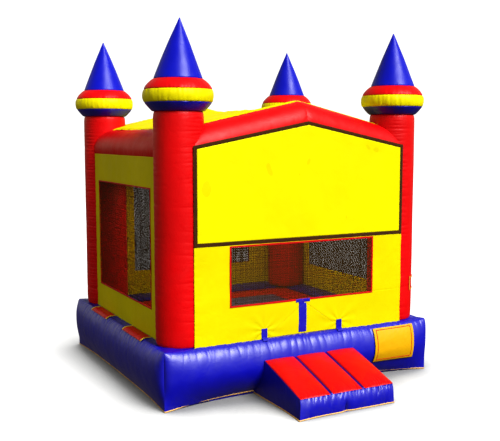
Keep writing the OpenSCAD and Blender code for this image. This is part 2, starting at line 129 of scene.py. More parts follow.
def ripple(a, b, scale, seed, octaves=4):
    """Smooth seeded noise of two coordinates, about -1 to 1: crossing waves of shrinking length."""
    rng = np.random.default_rng(seed)
    total = np.zeros(np.broadcast(a, b).shape)
    for k in range(octaves):
        for _ in range(3):
            angle, phase = rng.uniform(0, 2 * math.pi, 2)
            step = 2 * math.pi / scale * 1.7**k * rng.uniform(0.7, 1.3)
            wave = a * math.cos(angle) + b * math.sin(angle)
            total += np.sin(wave * step + phase) / (3 * 1.6**k)
    return total / 1.4


class Crease(NamedTuple):
    """A seam's creases in metres: how far apart, how long and how deep, and how much they may lean."""

    pitch: float
    reach: float
    depth: float
    lean: float = 0.25


BASE_FOLD = Crease(0.105, 0.32, 0.0095)
BASE_PLEAT = Crease(0.047, 0.19, 0.0055)
BASE_STITCH = Crease(0.021, 0.07, 0.003)
BASE_FOOT = Crease(0.085, 0.07, 0.006)
COLUMN_END = Crease(0.05, 0.085, 0.006)
COLUMN_SEAM = Crease(0.040, 0.17, 0.0080, 0.12)
SPIRE_FOOT = Crease(0.045, 0.035, 0.0028, 0.1)
GABLE_ROOF_SEAM = Crease(0.06, 0.10, 0.0055)
GABLE_WALL_SEAM = Crease(0.045, 0.075, 0.0040)
GABLE_MITRE = Crease(0.04, 0.07, 0.006, 0.1)
GABLE_END = Crease(0.045, 0.08, 0.005, 0.1)
SIDE_ROOF_SEAM = Crease(0.065, 0.10, 0.0055)
SIDE_WALL_SEAM = Crease(0.05, 0.07, 0.0045)
SIDE_END = Crease(0.045, 0.09, 0.006, 0.1)
ROOF_GABLE_EDGE = Crease(0.07, 0.22, 0.006, 0.4)
ROOF_SIDE_EDGE = Crease(0.075, 0.18, 0.006, 0.4)
FRONT_WALL_FOOT = Crease(0.075, 0.11, 0.004)
WALL_FOOT = Crease(0.08, 0.13, 0.005)
WALL_SIDE = Crease(0.08, 0.10, 0.004)
FLOOR_STITCH = Crease(0.09, 0.07, 0.004)
FLOOR_BORDER = Crease(0.07, 0.10, 0.005)
RAMP_LIP_SEAM = Crease(0.040, 0.075, 0.020, 0.35)
RAMP_FOOT_SEAM = Crease(0.08, 0.05, 0.006, 0.3)
RAMP_SIDE_SEAM = Crease(0.055, 0.07, 0.007, 0.3)
PILLOW_FRONT = Crease(0.036, 0.12, 0.014, 0.3)
PILLOW_BACK = Crease(0.06, 0.06, 0.005, 0.3)
PILLOW_SIDE = Crease(0.06, 0.05, 0.005, 0.2)
SLEEVE_CINCH = Crease(0.03, 0.08, 0.004, 0.2)


def gathers(s, t, length, crease, seed):
    """Depth of the creases that fan out from a gathered seam: s runs along the seam over length,
    t is the distance from it. 0 on the pillows, negative in the creases."""
    pitch, reach, depth, lean = crease
    rng = np.random.default_rng(seed)
    t = np.maximum(t, 0)
    total = np.zeros(np.broadcast(s, t).shape)
    at = pitch * rng.uniform(0.1, 0.6)
    while at < length:
        deep = depth * rng.uniform(0.35, 1.0)
        far = reach * rng.uniform(0.45, 1.25)
        width = pitch * rng.uniform(0.14, 0.26)
        slant = rng.uniform(-lean, lean)
        across = np.abs(s - at - slant * t) / (width * (1 + 0.9 * t / reach))
        fade = np.exp(-((t / far) ** 1.6))
        total -= deep * fade * np.exp(-across)
        at += pitch * rng.uniform(0.65, 1.5)
    return total


def grid_normals(points, wrap_u=False, wrap_v=False):
    """Unit normals of a grid of points."""
    if wrap_u:
        du = np.roll(points, -1, 0) - np.roll(points, 1, 0)
    else:
        du = np.gradient(points, axis=0)
    if wrap_v:
        dv = np.roll(points, -1, 1) - np.roll(points, 1, 1)
    else:
        dv = np.gradient(points, axis=1)
    n = np.cross(du, dv)
    return n / np.maximum(np.linalg.norm(n, axis=2, keepdims=True), 1e-12)


# ---- Mesh building ----

SHARP_ANGLE = 58  # edges bent by more than this many degrees are shaded sharp


def mesh_object(name, verts, faces, uvs):
    """A smooth mesh from points and faces; uvs holds one pair per face corner, in metres."""
    mesh = bpy.data.meshes.new(name)
    mesh.from_pydata([tuple(v) for v in verts], [], faces)
    layer = mesh.uv_layers.new(name="UVMap")
    layer.data.foreach_set("uv", np.asarray(uvs, np.float32).ravel())
    mesh.polygons.foreach_set("use_smooth", [True] * len(mesh.polygons))
    mesh.update()
    obj = bpy.data.objects.new(name, mesh)
    bpy.context.scene.collection.objects.link(obj)
    return obj


def grid_parts(points, wrap_u=False, wrap_v=False, caps=False, start=0):
    """Vertices, faces and corner UVs in metres of a grid of points; caps closes a ring's two ends."""
    nu, nv = points.shape[:2]
    ends_u = nu if wrap_u else nu - 1
    ends_v = nv if wrap_v else nv - 1
    closed = points
    if wrap_u:
        closed = np.concatenate([closed, closed[:1]], 0)
    if wrap_v:
        closed = np.concatenate([closed, closed[:, :1]], 1)
    along = np.linalg.norm(np.diff(closed, axis=0), axis=2).cumsum(0)
    across = np.linalg.norm(np.diff(closed, axis=1), axis=2).cumsum(1)
    along = np.concatenate([np.zeros((1, closed.shape[1])), along], 0)
    across = np.concatenate([np.zeros((closed.shape[0], 1)), across], 1)
    i, j = grid_of(np.arange(ends_u), np.arange(ends_v))
    i, j = i.ravel(), j.ravel()
    ring = [(i, j), (i + 1, j), (i + 1, j + 1), (i, j + 1)]
    quads = np.stack([(a % nu) * nv + (b % nv) for a, b in ring], 1) + start
    uv = np.stack([np.stack([along[a, b], across[a, b]], 1) for a, b in ring], 1)
    faces = quads.tolist()
    uvs = uv.reshape(-1, 2).tolist()
    if caps:
        first = [start + k for k in range(nv)][::-1]
        last = [start + (nu - 1) * nv + k for k in range(nv)]
        for cap in (first, last):
            faces.append(cap)
            uvs += [(0.0, 0.0)] * nv
    return points.reshape(-1, 3), faces, uvs


OPEN = {}  # an open sheet
RING = {"wrap_v": True, "caps": True}  # a run of closed rings with capped ends
LOOP = {"wrap_u": True, "wrap_v": True}  # a run of closed rings that meets itself


def joined(name, grids, merge=None):
    """Several (points, options) grids as one object; merge joins points closer than that."""
    verts, faces, uvs, start = [], [], [], 0
    for points, options in grids:
        v, f, u = grid_parts(points, start=start, **options)
        verts.append(v)
        faces += f
        uvs += u
        start += len(v)
    obj = mesh_object(name, np.concatenate(verts), faces, uvs)
    if merge:
        bm = bmesh.new()
        bm.from_mesh(obj.data)
        bmesh.ops.remove_doubles(bm, verts=bm.verts, dist=merge)
        bm.to_mesh(obj.data)
        bm.free()
    return obj


def shell(name, grids, merge=None):
    """Closed grids as one object whose normals point outwards."""
    obj = joined(name, grids, merge)
    bm = bmesh.new()
    bm.from_mesh(obj.data)
    bmesh.ops.recalc_face_normals(bm, faces=bm.faces)
    bm.to_mesh(obj.data)
    bm.free()
    return obj


def sheet(name, grids, thickness, merge=None):
    """Open grids of points as one cloth of that thickness."""
    obj = joined(name, [(points, OPEN) for points in grids], merge)
    modifier = obj.modifiers.new("thickness", "SOLIDIFY")
    modifier.thickness = thickness
    modifier.offset = 0
    return obj


def finished(obj, material, nodes=(), body="house"):
    """Gives a piece its material, the CAD nodes that it replaces and its body."""
    obj.data.materials.append(material)
    obj.data.set_sharp_from_angle(angle=math.radians(SHARP_ANGLE))
    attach(obj, body)
    if nodes:
        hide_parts(*nodes)
    return obj


def kept(node, material):
    """A CAD node that shows as it is, in a procedural material."""
    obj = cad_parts[node]
    obj.data.materials.clear()
    obj.data.materials.append(material)


# ---- Materials ----


class Nodes:
    """Short calls for building one node tree."""

    def __init__(self, name):
        self.material = bpy.data.materials.new(name)
        self.material.use_nodes = True
        self.tree = self.material.node_tree
        self.tree.nodes.clear()
        self.out = self.tree.nodes.new("ShaderNodeOutputMaterial")
        self.shader = self.tree.nodes.new("ShaderNodeBsdfPrincipled")
        self.link(self.shader.outputs[0], self.out.inputs[0])

    def link(self, a, b):
        self.tree.links.new(a, b)

    def new(self, kind, **values):
        node = self.tree.nodes.new("ShaderNode" + kind)
        for key, value in values.items():
            if hasattr(node, key):
                setattr(node, key, value)
            else:
                node.inputs[key.replace("_", " ")].default_value = value
        return node

    def math(self, operation, a, b=None):
        node = self.new("Math", operation=operation)
        for socket, value in zip(node.inputs, (a, b)):
            if value is None:
                continue
            if isinstance(value, (int, float)):
                socket.default_value = value
            else:
                self.link(value, socket)
        return node.outputs[0]

    def noise(self, vector, scale, detail=3.0, distortion=0.0):
        node = self.new("TexNoise", Scale=scale, Detail=detail, Distortion=distortion)
        self.link(vector, node.inputs["Vector"])
        return node.outputs["Fac"]

    def spread(self, value, a, b, c, d):
        """value from a..b mapped to c..d, clamped."""
        node = self.new("MapRange")
        self.link(value, node.inputs["Value"])
        for key, number in zip(("From Min", "From Max", "To Min", "To Max"), (a, b, c, d)):
            node.inputs[key].default_value = number
        return node.outputs[0]

    def mix(self, fac, a, b):
        """Mix of two colours, each a colour or a socket."""
        node = self.new("Mix", data_type="RGBA")
        self.link(fac, node.inputs["Factor"])
        for socket, value in ((node.inputs[6], a), (node.inputs[7], b)):
            if isinstance(value, tuple):
                socket.default_value = (*value, 1.0)
            else:
                self.link(value, socket)
        return node.outputs[2]

    def bump(self, height, strength, distance, before=None):
        node = self.new("Bump", Strength=strength, Distance=distance)
        self.link(height, node.inputs["Height"])
        if before is not None:
            self.link(before, node.inputs["Normal"])
        return node.outputs[0]


def shaded(colour, factor):
    """A colour made darker or lighter by a factor."""
    return tuple(min(1.0, c * factor) for c in colour)


def vinyl(name, colour, deep, rough, specular, dirt=0.0):
    """Coated vinyl over a woven scrim: faint weave, soft creases, slight colour drift, ground dirt."""
    n = Nodes(name)
    place = n.new("TexCoord").outputs["Object"]
    drift = n.noise(place, 1.1, 3.0)
    cloudy = n.noise(place, 9.0, 4.0, 0.4)
    base = n.mix(n.spread(drift, 0.3, 0.7, 0.0, 1.0), shaded(colour, 0.92), shaded(colour, 1.05))
    base = n.mix(n.spread(cloudy, 0.35, 0.75, 0.0, 0.35), base, deep)
    if dirt:
        split = n.new("SeparateXYZ")
        n.link(place, split.inputs[0])
        height = n.spread(split.outputs["Z"], 0.0, 0.22, 1.0, 0.0)
        speckle = n.spread(n.noise(place, 24.0, 5.0, 0.5), 0.45, 0.7, 0.0, 1.0)
        dust = n.math("MULTIPLY", n.math("MULTIPLY", height, speckle), dirt)
        base = n.mix(dust, base, (0.10, 0.085, 0.07))
    n.link(base, n.shader.inputs["Base Color"])
    worn = n.noise(place, 4.0, 5.0, 0.6)
    n.link(n.spread(worn, 0.3, 0.7, rough - 0.05, rough + 0.07), n.shader.inputs["Roughness"])
    n.shader.inputs["Specular IOR Level"].default_value = specular
    thread_x = n.new("TexWave", bands_direction="DIAGONAL", Scale=190.0)
    n.link(place, thread_x.inputs["Vector"])
    grain = n.noise(place, 420.0, 2.0)
    weave = n.math("ADD", n.math("MULTIPLY", thread_x.outputs["Fac"], 0.5), grain)
    soft = n.noise(place, 7.0, 3.0, 1.2)
    slack = n.bump(soft, 0.25, 0.012)
    n.link(n.bump(weave, 0.12, 0.0006, slack), n.shader.inputs["Normal"])
    return n.material


def woven(name, colour, deep, rough, pitch=0.0022, stitches=None, width=0.04):
    """Woven webbing or tape: ribs across its length and stitched rows."""
    n = Nodes(name)
    uv = n.new("UVMap").outputs[0]
    split = n.new("SeparateXYZ")
    n.link(uv, split.inputs[0])
    u, v = split.outputs[0], split.outputs[1]
    rib = n.math("SINE", n.math("MULTIPLY", u, 2 * math.pi / pitch))
    warp = n.math("SINE", n.math("MULTIPLY", v, 2 * math.pi / (pitch * 1.4)))
    weave = n.math("MULTIPLY", rib, warp)
    place = n.new("TexCoord").outputs["Object"]
    drift = n.noise(place, 14.0, 4.0)
    base = n.mix(n.spread(drift, 0.3, 0.7, 0.0, 1.0), deep, colour)
    # Painted shade: the weave's low places are coloured darker, as if shaded in its hollows.
    base = n.mix(n.spread(weave, -1.0, 1.0, 0.25, 0.0), base, shaded(deep, 0.6))
    height = n.spread(weave, -1.0, 1.0, 0.0, 1.0)
    if stitches:
        edge = n.math("ABSOLUTE", n.math("SUBTRACT", n.math("PINGPONG", v, width / 2), 0.006))
        row = n.math("LESS_THAN", edge, 0.0012)
        dash = n.math("LESS_THAN", n.math("FRACT", n.math("MULTIPLY", u, 1 / 0.008)), 0.62)
        thread = n.math("MULTIPLY", row, dash)
        base = n.mix(thread, base, stitches)
        height = n.math("ADD", height, n.math("MULTIPLY", thread, 1.5))
    n.link(base, n.shader.inputs["Base Color"])
    n.link(n.spread(drift, 0.3, 0.7, rough - 0.08, rough + 0.08), n.shader.inputs["Roughness"])
    n.shader.inputs["Specular IOR Level"].default_value = 0.12
    n.shader.inputs["Sheen Weight"].default_value = 0.06
    n.link(n.bump(height, 0.5, 0.0009), n.shader.inputs["Normal"])
    return n.material


def netting(name):
    """Knotless net cord: dark twisted yarn."""
    n = Nodes(name)
    place = n.new("TexCoord").outputs["Object"]
    twist = n.noise(place, 600.0, 2.0, 1.0)
    n.link(n.mix(twist, (0.010, 0.006, 0.002), (0.034, 0.020, 0.006)), n.shader.inputs["Base Color"])
    n.link(n.spread(twist, 0.3, 0.7, 0.55, 0.8), n.shader.inputs["Roughness"])
    n.shader.inputs["Specular IOR Level"].default_value = 0.05
    n.link(n.bump(twist, 0.5, 0.0006), n.shader.inputs["Normal"])
    return n.material


def metal(name, colour, rough):
    """Zinc-plated steel with fine scratches and dull patches."""
    n = Nodes(name)
    place = n.new("TexCoord").outputs["Object"]
    scratch = n.noise(place, 900.0, 3.0, 2.0)
    patch = n.noise(place, 90.0, 4.0)
    n.link(n.mix(patch, shaded(colour, 0.7), colour), n.shader.inputs["Base Color"])
    n.link(n.spread(patch, 0.3, 0.7, rough - 0.1, rough + 0.12), n.shader.inputs["Roughness"])
    n.shader.inputs["Metallic"].default_value = 1.0
    n.link(n.bump(scratch, 0.2, 0.0002), n.shader.inputs["Normal"])
    return n.material


# vinyl: colour, the deeper colour of its clouds, roughness, specular level
BLUE = vinyl("blue_vinyl", (0.0, 0.0, 0.34), (0.0, 0.0, 0.24), 0.40, 0.62, dirt=0.15)
SPIRE_BLUE = vinyl("spire_blue_vinyl", (0.0, 0.003, 0.38), (0.0, 0.001, 0.27), 0.40, 0.25)
RED = vinyl("red_vinyl", (0.52, 0.0, 0.002), (0.44, 0.0, 0.001), 0.44, 0.18)
YELLOW = vinyl("yellow_vinyl", (0.62, 0.56, 0.0), (0.56, 0.49, 0.0), 0.46, 0.10)
WALL_YELLOW = vinyl("wall_yellow_vinyl", (0.55, 0.49, 0.0), (0.48, 0.415, 0.0), 0.52, 0.05)
BANNER_YELLOW = vinyl("banner_yellow_vinyl", (0.59, 0.555, 0.0), (0.54, 0.50, 0.0), 0.50, 0.05)
ROOF_YELLOW = vinyl("roof_yellow_vinyl", (0.64, 0.56, 0.0), (0.54, 0.46, 0.0), 0.60, 0.04)
FLOOR_VINYL = vinyl("floor_vinyl", (0.09, 0.095, 0.26), (0.06, 0.06, 0.19), 0.42, 0.25)
NET = netting("window_net")
# woven: colour, deeper colour, roughness, rib pitch, stitch colour, width of the tape
RED_TRIM = woven(
    "red_trim", (0.52, 0.001, 0.003), (0.42, 0.0, 0.002), 0.6, 0.0018, (0.3, 0.0, 0.0), 0.022
)
DARK_TAPE = woven(
    "dark_tape", (0.050, 0.018, 0.001), (0.030, 0.010, 0.0005), 0.8, 0.0016, (0.07, 0.03, 0.005), 0.046
)
WEBBING = woven(
    "tan_webbing", (0.78, 0.45, 0.12), (0.62, 0.34, 0.07), 0.7, 0.0022, (0.8, 0.6, 0.35), 0.04
)
GOLD_VINYL = vinyl("patch_vinyl", (0.56, 0.30, 0.003), (0.50, 0.24, 0.002), 0.42, 0.16)
ORANGE_WEBBING = woven(
    "orange_webbing", (0.62, 0.20, 0.008), (0.50, 0.14, 0.004), 0.7, 0.0022, (0.7, 0.4, 0.1), 0.04
)
YELLOW_WEBBING = woven(
    "yellow_webbing", (0.70, 0.50, 0.02), (0.58, 0.40, 0.01), 0.7, 0.0022, (0.7, 0.6, 0.2), 0.036
)
BLACK_WEBBING = woven(
    "black_webbing", (0.010, 0.010, 0.011), (0.006, 0.006, 0.006), 0.7, 0.0022, None, 0.038
)
STEEL = metal("zinc_steel", (0.52, 0.52, 0.54), 0.34)


# ---- Base tubes ----

FOOT_IN = {"front": 0.15, "side": 0.05}  # how far the foot seam draws in mid-side


def fullness(from_corner):
    """How far a base tube is filled out, from 0 at its mitred corner to 1 in its middle."""
    return 1 - np.exp(-((np.maximum(from_corner, 0) / 0.13) ** 0.95))


def foot_seam(from_corner, foot_in):
    """Offset out and height of the foot seam: on the ground at the corners, drawn in and up between."""
    drawn = 1 - np.exp(-((np.maximum(from_corner, 0) / 0.45) ** 1.2))
    return -foot_in * drawn, 0.004 + 0.25 * foot_in * drawn


def tube_side(k, from_corner, foot_in):
    """Offset out and height on a tube's side: k from 0 at the foot seam to 1 at the bulge."""
    foot, lift = foot_seam(from_corner, foot_in)
    swell = BULGE * fullness(from_corner)
    return foot + (swell - foot) * np.sin(math.pi / 2 * k) ** 0.9, lift + (BULGE_Z - lift) * k


def tube_shoulder(k, from_corner):
    """Offset out and height above the bulge: k from 0 at the bulge to 1 at the top seam."""
    full = fullness(from_corner)
    swell = BULGE * full
    power = 0.22 + 0.78 * full
    out = -SHOULDER + (swell + SHOULDER) * np.maximum(np.cos(math.pi / 2 * k), 0) ** power
    return out, BULGE_Z + (BASE_H - BULGE_Z) * np.sin(math.pi / 2 * k) ** power


def base_tube(node, half_len, half, turn, seed, columns, foot_in):
    """An inflated base tube with square, mitred corners, pleated along its upper seam."""
    u = np.linspace(-1, 1, columns)[:, None]
    u = np.sign(u) * (1 - (1 - np.abs(u)) ** 1.15)
    from_corner = (1 - np.abs(u)) * half_len
    side_k = np.linspace(0, 1, 30)[None, :]
    shoulder_k = np.linspace(0, 1, 36)[None, 1:]
    top_k = np.linspace(0, 1, 14)[None, 1:]
    foot, _ = foot_seam(from_corner, foot_in)
    parts = [tube_side(side_k, from_corner, foot_in), tube_shoulder(shoulder_k, from_corner)]
    parts.append((-SHOULDER - (TUBE_W - SHOULDER) * top_k, BASE_H + 0.004 - 0.03 * top_k**4))
    inside = np.full_like(u, -TUBE_W)
    back_z = np.array([[BASE_H / 2, 0.0, 0.0, 0.001]])
    parts.append((np.concatenate([inside, inside, foot - 0.09, foot - 0.02], 1), back_z))
    out, z = (
        np.concatenate([np.broadcast_to(part[i], (columns, part[i].shape[1])) for part in parts], 1)
        for i in (0, 1)
    )
    points = points_of(u * (half_len + out), -half - out, z)
    n = grid_normals(points, wrap_v=True)
    n *= np.sign((n[columns // 2, 24] * (0, -1, 0)).sum())  # outwards, seen from mid-side
    step = np.linalg.norm(np.diff(points, axis=1), axis=2)
    from_foot = np.concatenate([np.zeros((columns, 1)), step.cumsum(1)], 1)
    seam = side_k.size + shoulder_k.size - 1
    from_seam = np.abs(from_foot - from_foot[:, seam : seam + 1])
    s = points[..., 0] + half_len
    length = 2 * half_len
    calm = smooth(from_corner / 0.12)
    d = gathers(s, from_seam, length, BASE_FOLD, seed) * calm
    d += gathers(s, from_seam, length, BASE_PLEAT, seed + 4) * calm
    d += gathers(s, from_seam, length, BASE_STITCH, seed + 1) * calm
    d += gathers(s, from_foot, length, BASE_FOOT, seed + 2) * calm
    d += 0.004 * ripple(s, z * 0.6, 0.5, seed + 3, 3) * calm * smooth(from_foot / 0.08)
    d -= 0.006 * bell(from_seam, 0.008) * calm
    d[:, -4:] = 0  # the hidden back and underside stay plain
    d[:, 0] = 0
    shown = points + n * d[..., None]
    shown[..., 2] = np.clip(shown[..., 2], 0.0, None)
    return finished(shell(f"{node}_skin", [(turned(shown, turn), RING)]), BLUE, [node])


# ---- Columns and turrets ----

SPIRE_GORES = (65, 185, 305)  # directions of a spire's welted seams, in degrees
SPIRE_LEAN = {"front_left": (0.022, -0.012)}  # how far a spire's tip has moved in x and y


def revolve(cx, cy, radius, z, around, push=None):
    """Grid of a body of revolution: radius and z are arrays along it; push moves points outwards."""
    a = np.linspace(0, 2 * math.pi, around, endpoint=False)[:, None]
    r = np.broadcast_to(radius[None, :], (around, len(z))).copy()
    if push is not None:
        r += push(a, np.broadcast_to(z[None, :], r.shape), r)
    return points_of(cx + r * np.cos(a), cy + r * np.sin(a), z[None, :]).transpose(1, 0, 2)


def angle_apart(a, b):
    """The angle between two directions, 0 to pi."""
    return np.abs((a - b + math.pi) % (2 * math.pi) - math.pi)


def column(node, sx, sy, seed):
    """An upright: gathered at both ends and where the walls are sewn on."""
    z_low, z_high = BASE_H - 0.006, COLUMN_TOP + 0.004
    k = np.linspace(0, 1, 330)
    z = z_low + (z_high - z_low) * k
    end = np.minimum(z - z_low, z_high - z)
    radius = COLUMN_R - 0.020 * np.exp(-end / 0.022) - 0.002
    wall_seams = (math.atan2(sy * 0.89, -sx * 0.45), math.atan2(-sy * 0.45, sx * 0.89))

    def push(a, zz, r):
        arc = a * COLUMN_R + 0 * zz
        ends = np.minimum(zz - z_low, z_high - zz)
        d = gathers(arc, ends, 2 * math.pi * COLUMN_R, COLUMN_END, seed)
        for i, seam in enumerate(wall_seams):
            away = angle_apart(a, seam) * COLUMN_R + 0 * zz
            d += gathers(zz, away, z_high, COLUMN_SEAM, seed + 11 + i)
        d += 0.0022 * ripple(arc, zz * 0.35, 0.45, seed + 3, 3)
        return d - 0.0025 * bell(angle_apart(a, math.atan2(-sy, -sx)) * COLUMN_R, 0.006)

    points = revolve(sx * COLUMN_X, sy * COLUMN_Y, radius, z, 150, push)
    return finished(shell(f"{node}_skin", [(points, RING)]), RED, [node])


def turret_ring(node, sx, sy, r0, r1, crown, pitch, depth, material, seed, rows=40):
    """A swelling ring between two gathered seams; its radius runs from r0 to r1."""
    z0, z1 = span(node, "z")
    k = np.linspace(0, 1, rows)
    z = z0 + (z1 - z0) * k
    edge = np.minimum(k, 1 - k) * (z1 - z0)
    radius = r0 + (r1 - r0) * k + crown * np.sin(math.pi * k) ** 0.75 - 0.007 * np.exp(-edge / 0.006)

    def push(a, zz, r):
        arc = a * max(r0, r1) + 0 * zz
        top, foot = z1 - zz, zz - z0
        length = 2 * math.pi * max(r0, r1)
        crease = Crease(pitch, (z1 - z0) * 0.55, depth, 0.15)
        d = gathers(arc, foot, length, crease, seed)
        d += gathers(arc, top, length, crease, seed + 1)
        return d + 0.0015 * ripple(arc, zz, 0.16, seed + 2, 2)

    points = revolve(sx * COLUMN_X, sy * COLUMN_Y, radius, z, 190, push)
    obj = shell(f"{node}_skin", [(points, RING)])
    return finished(obj, material, [node])


def spire(node, sx, sy, seed, lean):
    """A taut cone with welted gore seams and a lightly gathered foot; lean moves its tip."""
    z0, z1 = low(node).z - 0.003, high(node).z
    r0 = (high(node).x - low(node).x) / 2
    k = 1 - (1 - np.linspace(0, 1, 120)) ** 1.15
    z = z0 + (z1 - z0) * k
    radius = r0 * (1 - k) + 0.006 * np.sin(math.pi * k) ** 2 + 0.005 * (k < 1)
    radius -= 0.008 * np.exp(-(z - z0) / 0.006)
    radius[-1] = 0.002

    def push(a, zz, r):
        arc = a * r0 + 0 * zz
        d = gathers(arc, zz - z0, 2 * math.pi * r0, SPIRE_FOOT, seed)
        for gore in SPIRE_GORES:
            away = angle_apart(a, math.radians(gore)) * r
            d += 0.0030 * bell(away, 0.0055) - 0.0022 * bell(away - 0.012, 0.006)
        d *= smooth((z1 - zz) / 0.06)
        return d + 0.0012 * ripple(arc, zz, 0.35, seed + 4, 2) * smooth((z1 - zz) / 0.1)

    points = revolve(sx * COLUMN_X, sy * COLUMN_Y, radius, z, 170, push)
    points[..., :2] += (k**1.5)[:, None, None] * np.array(lean)
    return finished(shell(f"{node}_skin", [(points, RING)]), SPIRE_BLUE, [node])


def turret(where, sx, sy, seed):
    """Three bands and a spire on one column."""
    lower, middle, upper = (f"{band}_band_{where}" for band in ("lower", "middle", "upper"))
    r_band = (high(lower).x - low(lower).x) / 2
    r_spire = (high(f"spire_{where}").x - low(f"spire_{where}").x) / 2
    turret_ring(lower, sx, sy, COLUMN_R + 0.004, r_band - 0.002, 0.006, 0.055, 0.005,
                BLUE, seed)
    turret_ring(middle, sx, sy, r_band + 0.002, r_band + 0.004, 0.018, 0.042, 0.015,
                YELLOW, seed + 20, 48)
    turret_ring(upper, sx, sy, r_band + 0.002, r_spire + 0.004, 0.020, 0.05, 0.009,
                RED, seed + 40)
    spire(f"spire_{where}", sx, sy, seed + 60, SPIRE_LEAN.get(where, (0.0, 0.0)))


# ---- Beams ----


def column_reach(across):
    """How far a column's surface lies from its axis, at a distance across from it."""
    return np.sqrt(np.maximum((COLUMN_R - 0.006) ** 2 - across**2, 0.0))


APEX_X = 0.045  # how far right of the middle the front gable's ridge has settled


def gable_axis(x, apex=0.0):
    """Height of a gable beam's middle at x, with its ridge at apex."""
    return RIDGE_Z - BEAM_R / GABLE_COS - GABLE_SLOPE * np.abs(x - apex * (1 - np.abs(x) / COLUMN_X))


def gable_beam(node, turn, seed, apex):
    """A gabled tube, mitred at the ridge and gathered along the roof's seam and the wall's seam."""
    a = np.linspace(0, 2 * math.pi, 96, endpoint=False)[None, :]
    u = np.linspace(-1, 1, 421)[:, None]
    y_off = BEAM_R * np.cos(a)
    end = COLUMN_X - column_reach(np.abs(-GABLE_Y + y_off + COLUMN_Y))
    x = u * end
    from_ridge = np.abs(x - apex)
    s = x + 1.5
    from_roof = np.abs(a - math.radians(95)) * BEAM_R + 0 * s
    from_wall = np.abs(a - math.radians(184)) * BEAM_R + 0 * s
    d = gathers(s, from_roof, 3.0, GABLE_ROOF_SEAM, seed)
    d += gathers(s, from_wall, 3.0, GABLE_WALL_SEAM, seed + 1)
    around = a * BEAM_R + 0 * s
    d += gathers(around, from_ridge, 2 * math.pi * BEAM_R, GABLE_MITRE, seed + 2)
    d += gathers(around, end - np.abs(x) + 0 * around, 2 * math.pi * BEAM_R, GABLE_END, seed + 3)
    d += 0.0022 * ripple(s, around, 0.45, seed + 4, 3)
    d -= 0.008 * np.exp(-from_ridge / 0.03) + 0.006 * np.exp(-(end - np.abs(x)) / 0.03)
    radius = BEAM_R - 0.002 + d
    points = points_of(x, -GABLE_Y + radius * np.cos(a), gable_axis(x, apex) + radius / GABLE_COS * np.sin(a))
    return finished(shell(f"{node}_skin", [(turned(points, turn), RING)]), RED, [node])


def side_beam(node, turn, seed):
    """A level tube between two columns, gathered along the roof's seam and the wall's seam."""
    a = np.linspace(0, 2 * math.pi, 96, endpoint=False)[None, :]
    u = np.linspace(-1, 1, 321)[:, None]
    x_off = BEAM_R * np.cos(a)
    end = COLUMN_Y - column_reach(np.abs(-SIDE_BEAM_X + x_off + COLUMN_X))
    y = u * end
    s = y + 1.5
    around = a * BEAM_R + 0 * s
    from_roof = np.abs(a - math.radians(88)) * BEAM_R + 0 * s
    from_wall = np.abs(a - math.radians(196)) * BEAM_R + 0 * s
    d = gathers(s, from_roof, 3.0, SIDE_ROOF_SEAM, seed)
    d += gathers(s, from_wall, 3.0, SIDE_WALL_SEAM, seed + 1)
    d += gathers(around, end - np.abs(y) + 0 * around, 2 * math.pi * BEAM_R, SIDE_END, seed + 3)
    d += 0.0024 * ripple(s, around, 0.45, seed + 4, 3) - 0.008 * np.exp(-(end - np.abs(y)) / 0.03)
    radius = BEAM_R - 0.003 + d
    points = points_of(-SIDE_BEAM_X + radius * np.cos(a), y, SIDE_BEAM_Z + radius * np.sin(a))
    return finished(shell(f"{node}_skin", [(turned(points, turn), RING)]), RED, [node])


# ---- Roof ----


def roof_height(x, y):
    """Height of the roof sheet: taut over the beams, rippled and slack between them."""
    ridge_x = APEX_X * smooth(-y / GABLE_Y)
    rounded = np.sqrt((x - ridge_x * (1 - np.abs(x) / COLUMN_X)) ** 2 + 0.05**2) - 0.02
    z = RIDGE_Z + 0.006 - GABLE_SLOPE * rounded
    inner = smooth((GABLE_Y - np.abs(y)) / 0.5)
    slack = smooth(1 - np.abs(x) / 1.5) * 0.5 + 0.5
    z -= 0.035 * inner * slack * np.sin(math.pi * np.clip(np.abs(x) / 1.6, 0, 1)) ** 0.7
    z -= 0.085 * smooth((GABLE_Y - np.abs(y)) / 0.8) * np.exp(-((x / 0.8) ** 2))
    z += 0.010 * inner * ripple(x * 0.5, y, 0.55, 71, 3)
    edge = GABLE_Y - np.abs(y)
    z += 0.003 + gathers(x + 1.7, np.maximum(edge, 0), 3.4, ROOF_GABLE_EDGE, 72)
    z += gathers(y + 1.7, np.maximum(1.58 - np.abs(x), 0), 3.4, ROOF_SIDE_EDGE, 73)
    past_gable = smooth((np.abs(y) - GABLE_Y + 0.03) / 0.06)
    past_side = smooth((np.abs(x) - SIDE_BEAM_X + 0.05) / 0.06)
    return z - (0.016 * past_gable + 0.016 * past_side)


def roof_cover():
    """One sheet over the beams, cut out round the columns."""
    y_edge, x_edge = GABLE_Y + 0.035, SIDE_BEAM_X + 0.015
    v = np.linspace(-1, 1, 241)[None, :]
    u = np.linspace(-1, 1, 281)[:, None]
    y = v * y_edge + 0 * u
    gap = np.abs(y) - COLUMN_Y
    beside = COLUMN_X - np.sqrt(np.maximum(COLUMN_R**2 - gap**2, 0))
    limit = np.where(np.abs(gap) < COLUMN_R, np.minimum(x_edge, beside), x_edge)
    x = u * limit
    points = points_of(x, y, roof_height(x, y))
    obj = sheet("roof_sheet", [points], 0.002)
    finished(obj, ROOF_YELLOW, ["roof_cover"])


# ---- Walls ----


def wall_object(name, patches, plane, relief, turn, nodes, material, thickness=0.003):
    """Flat patches in x and z, joined into one sheet that stands at plane with relief outwards."""
    grids = [turned(points_of(x, -plane - relief(x, z), z), turn) for x, z in patches]
    return finished(sheet(name, grids, thickness, merge=0.0004), material, nodes)


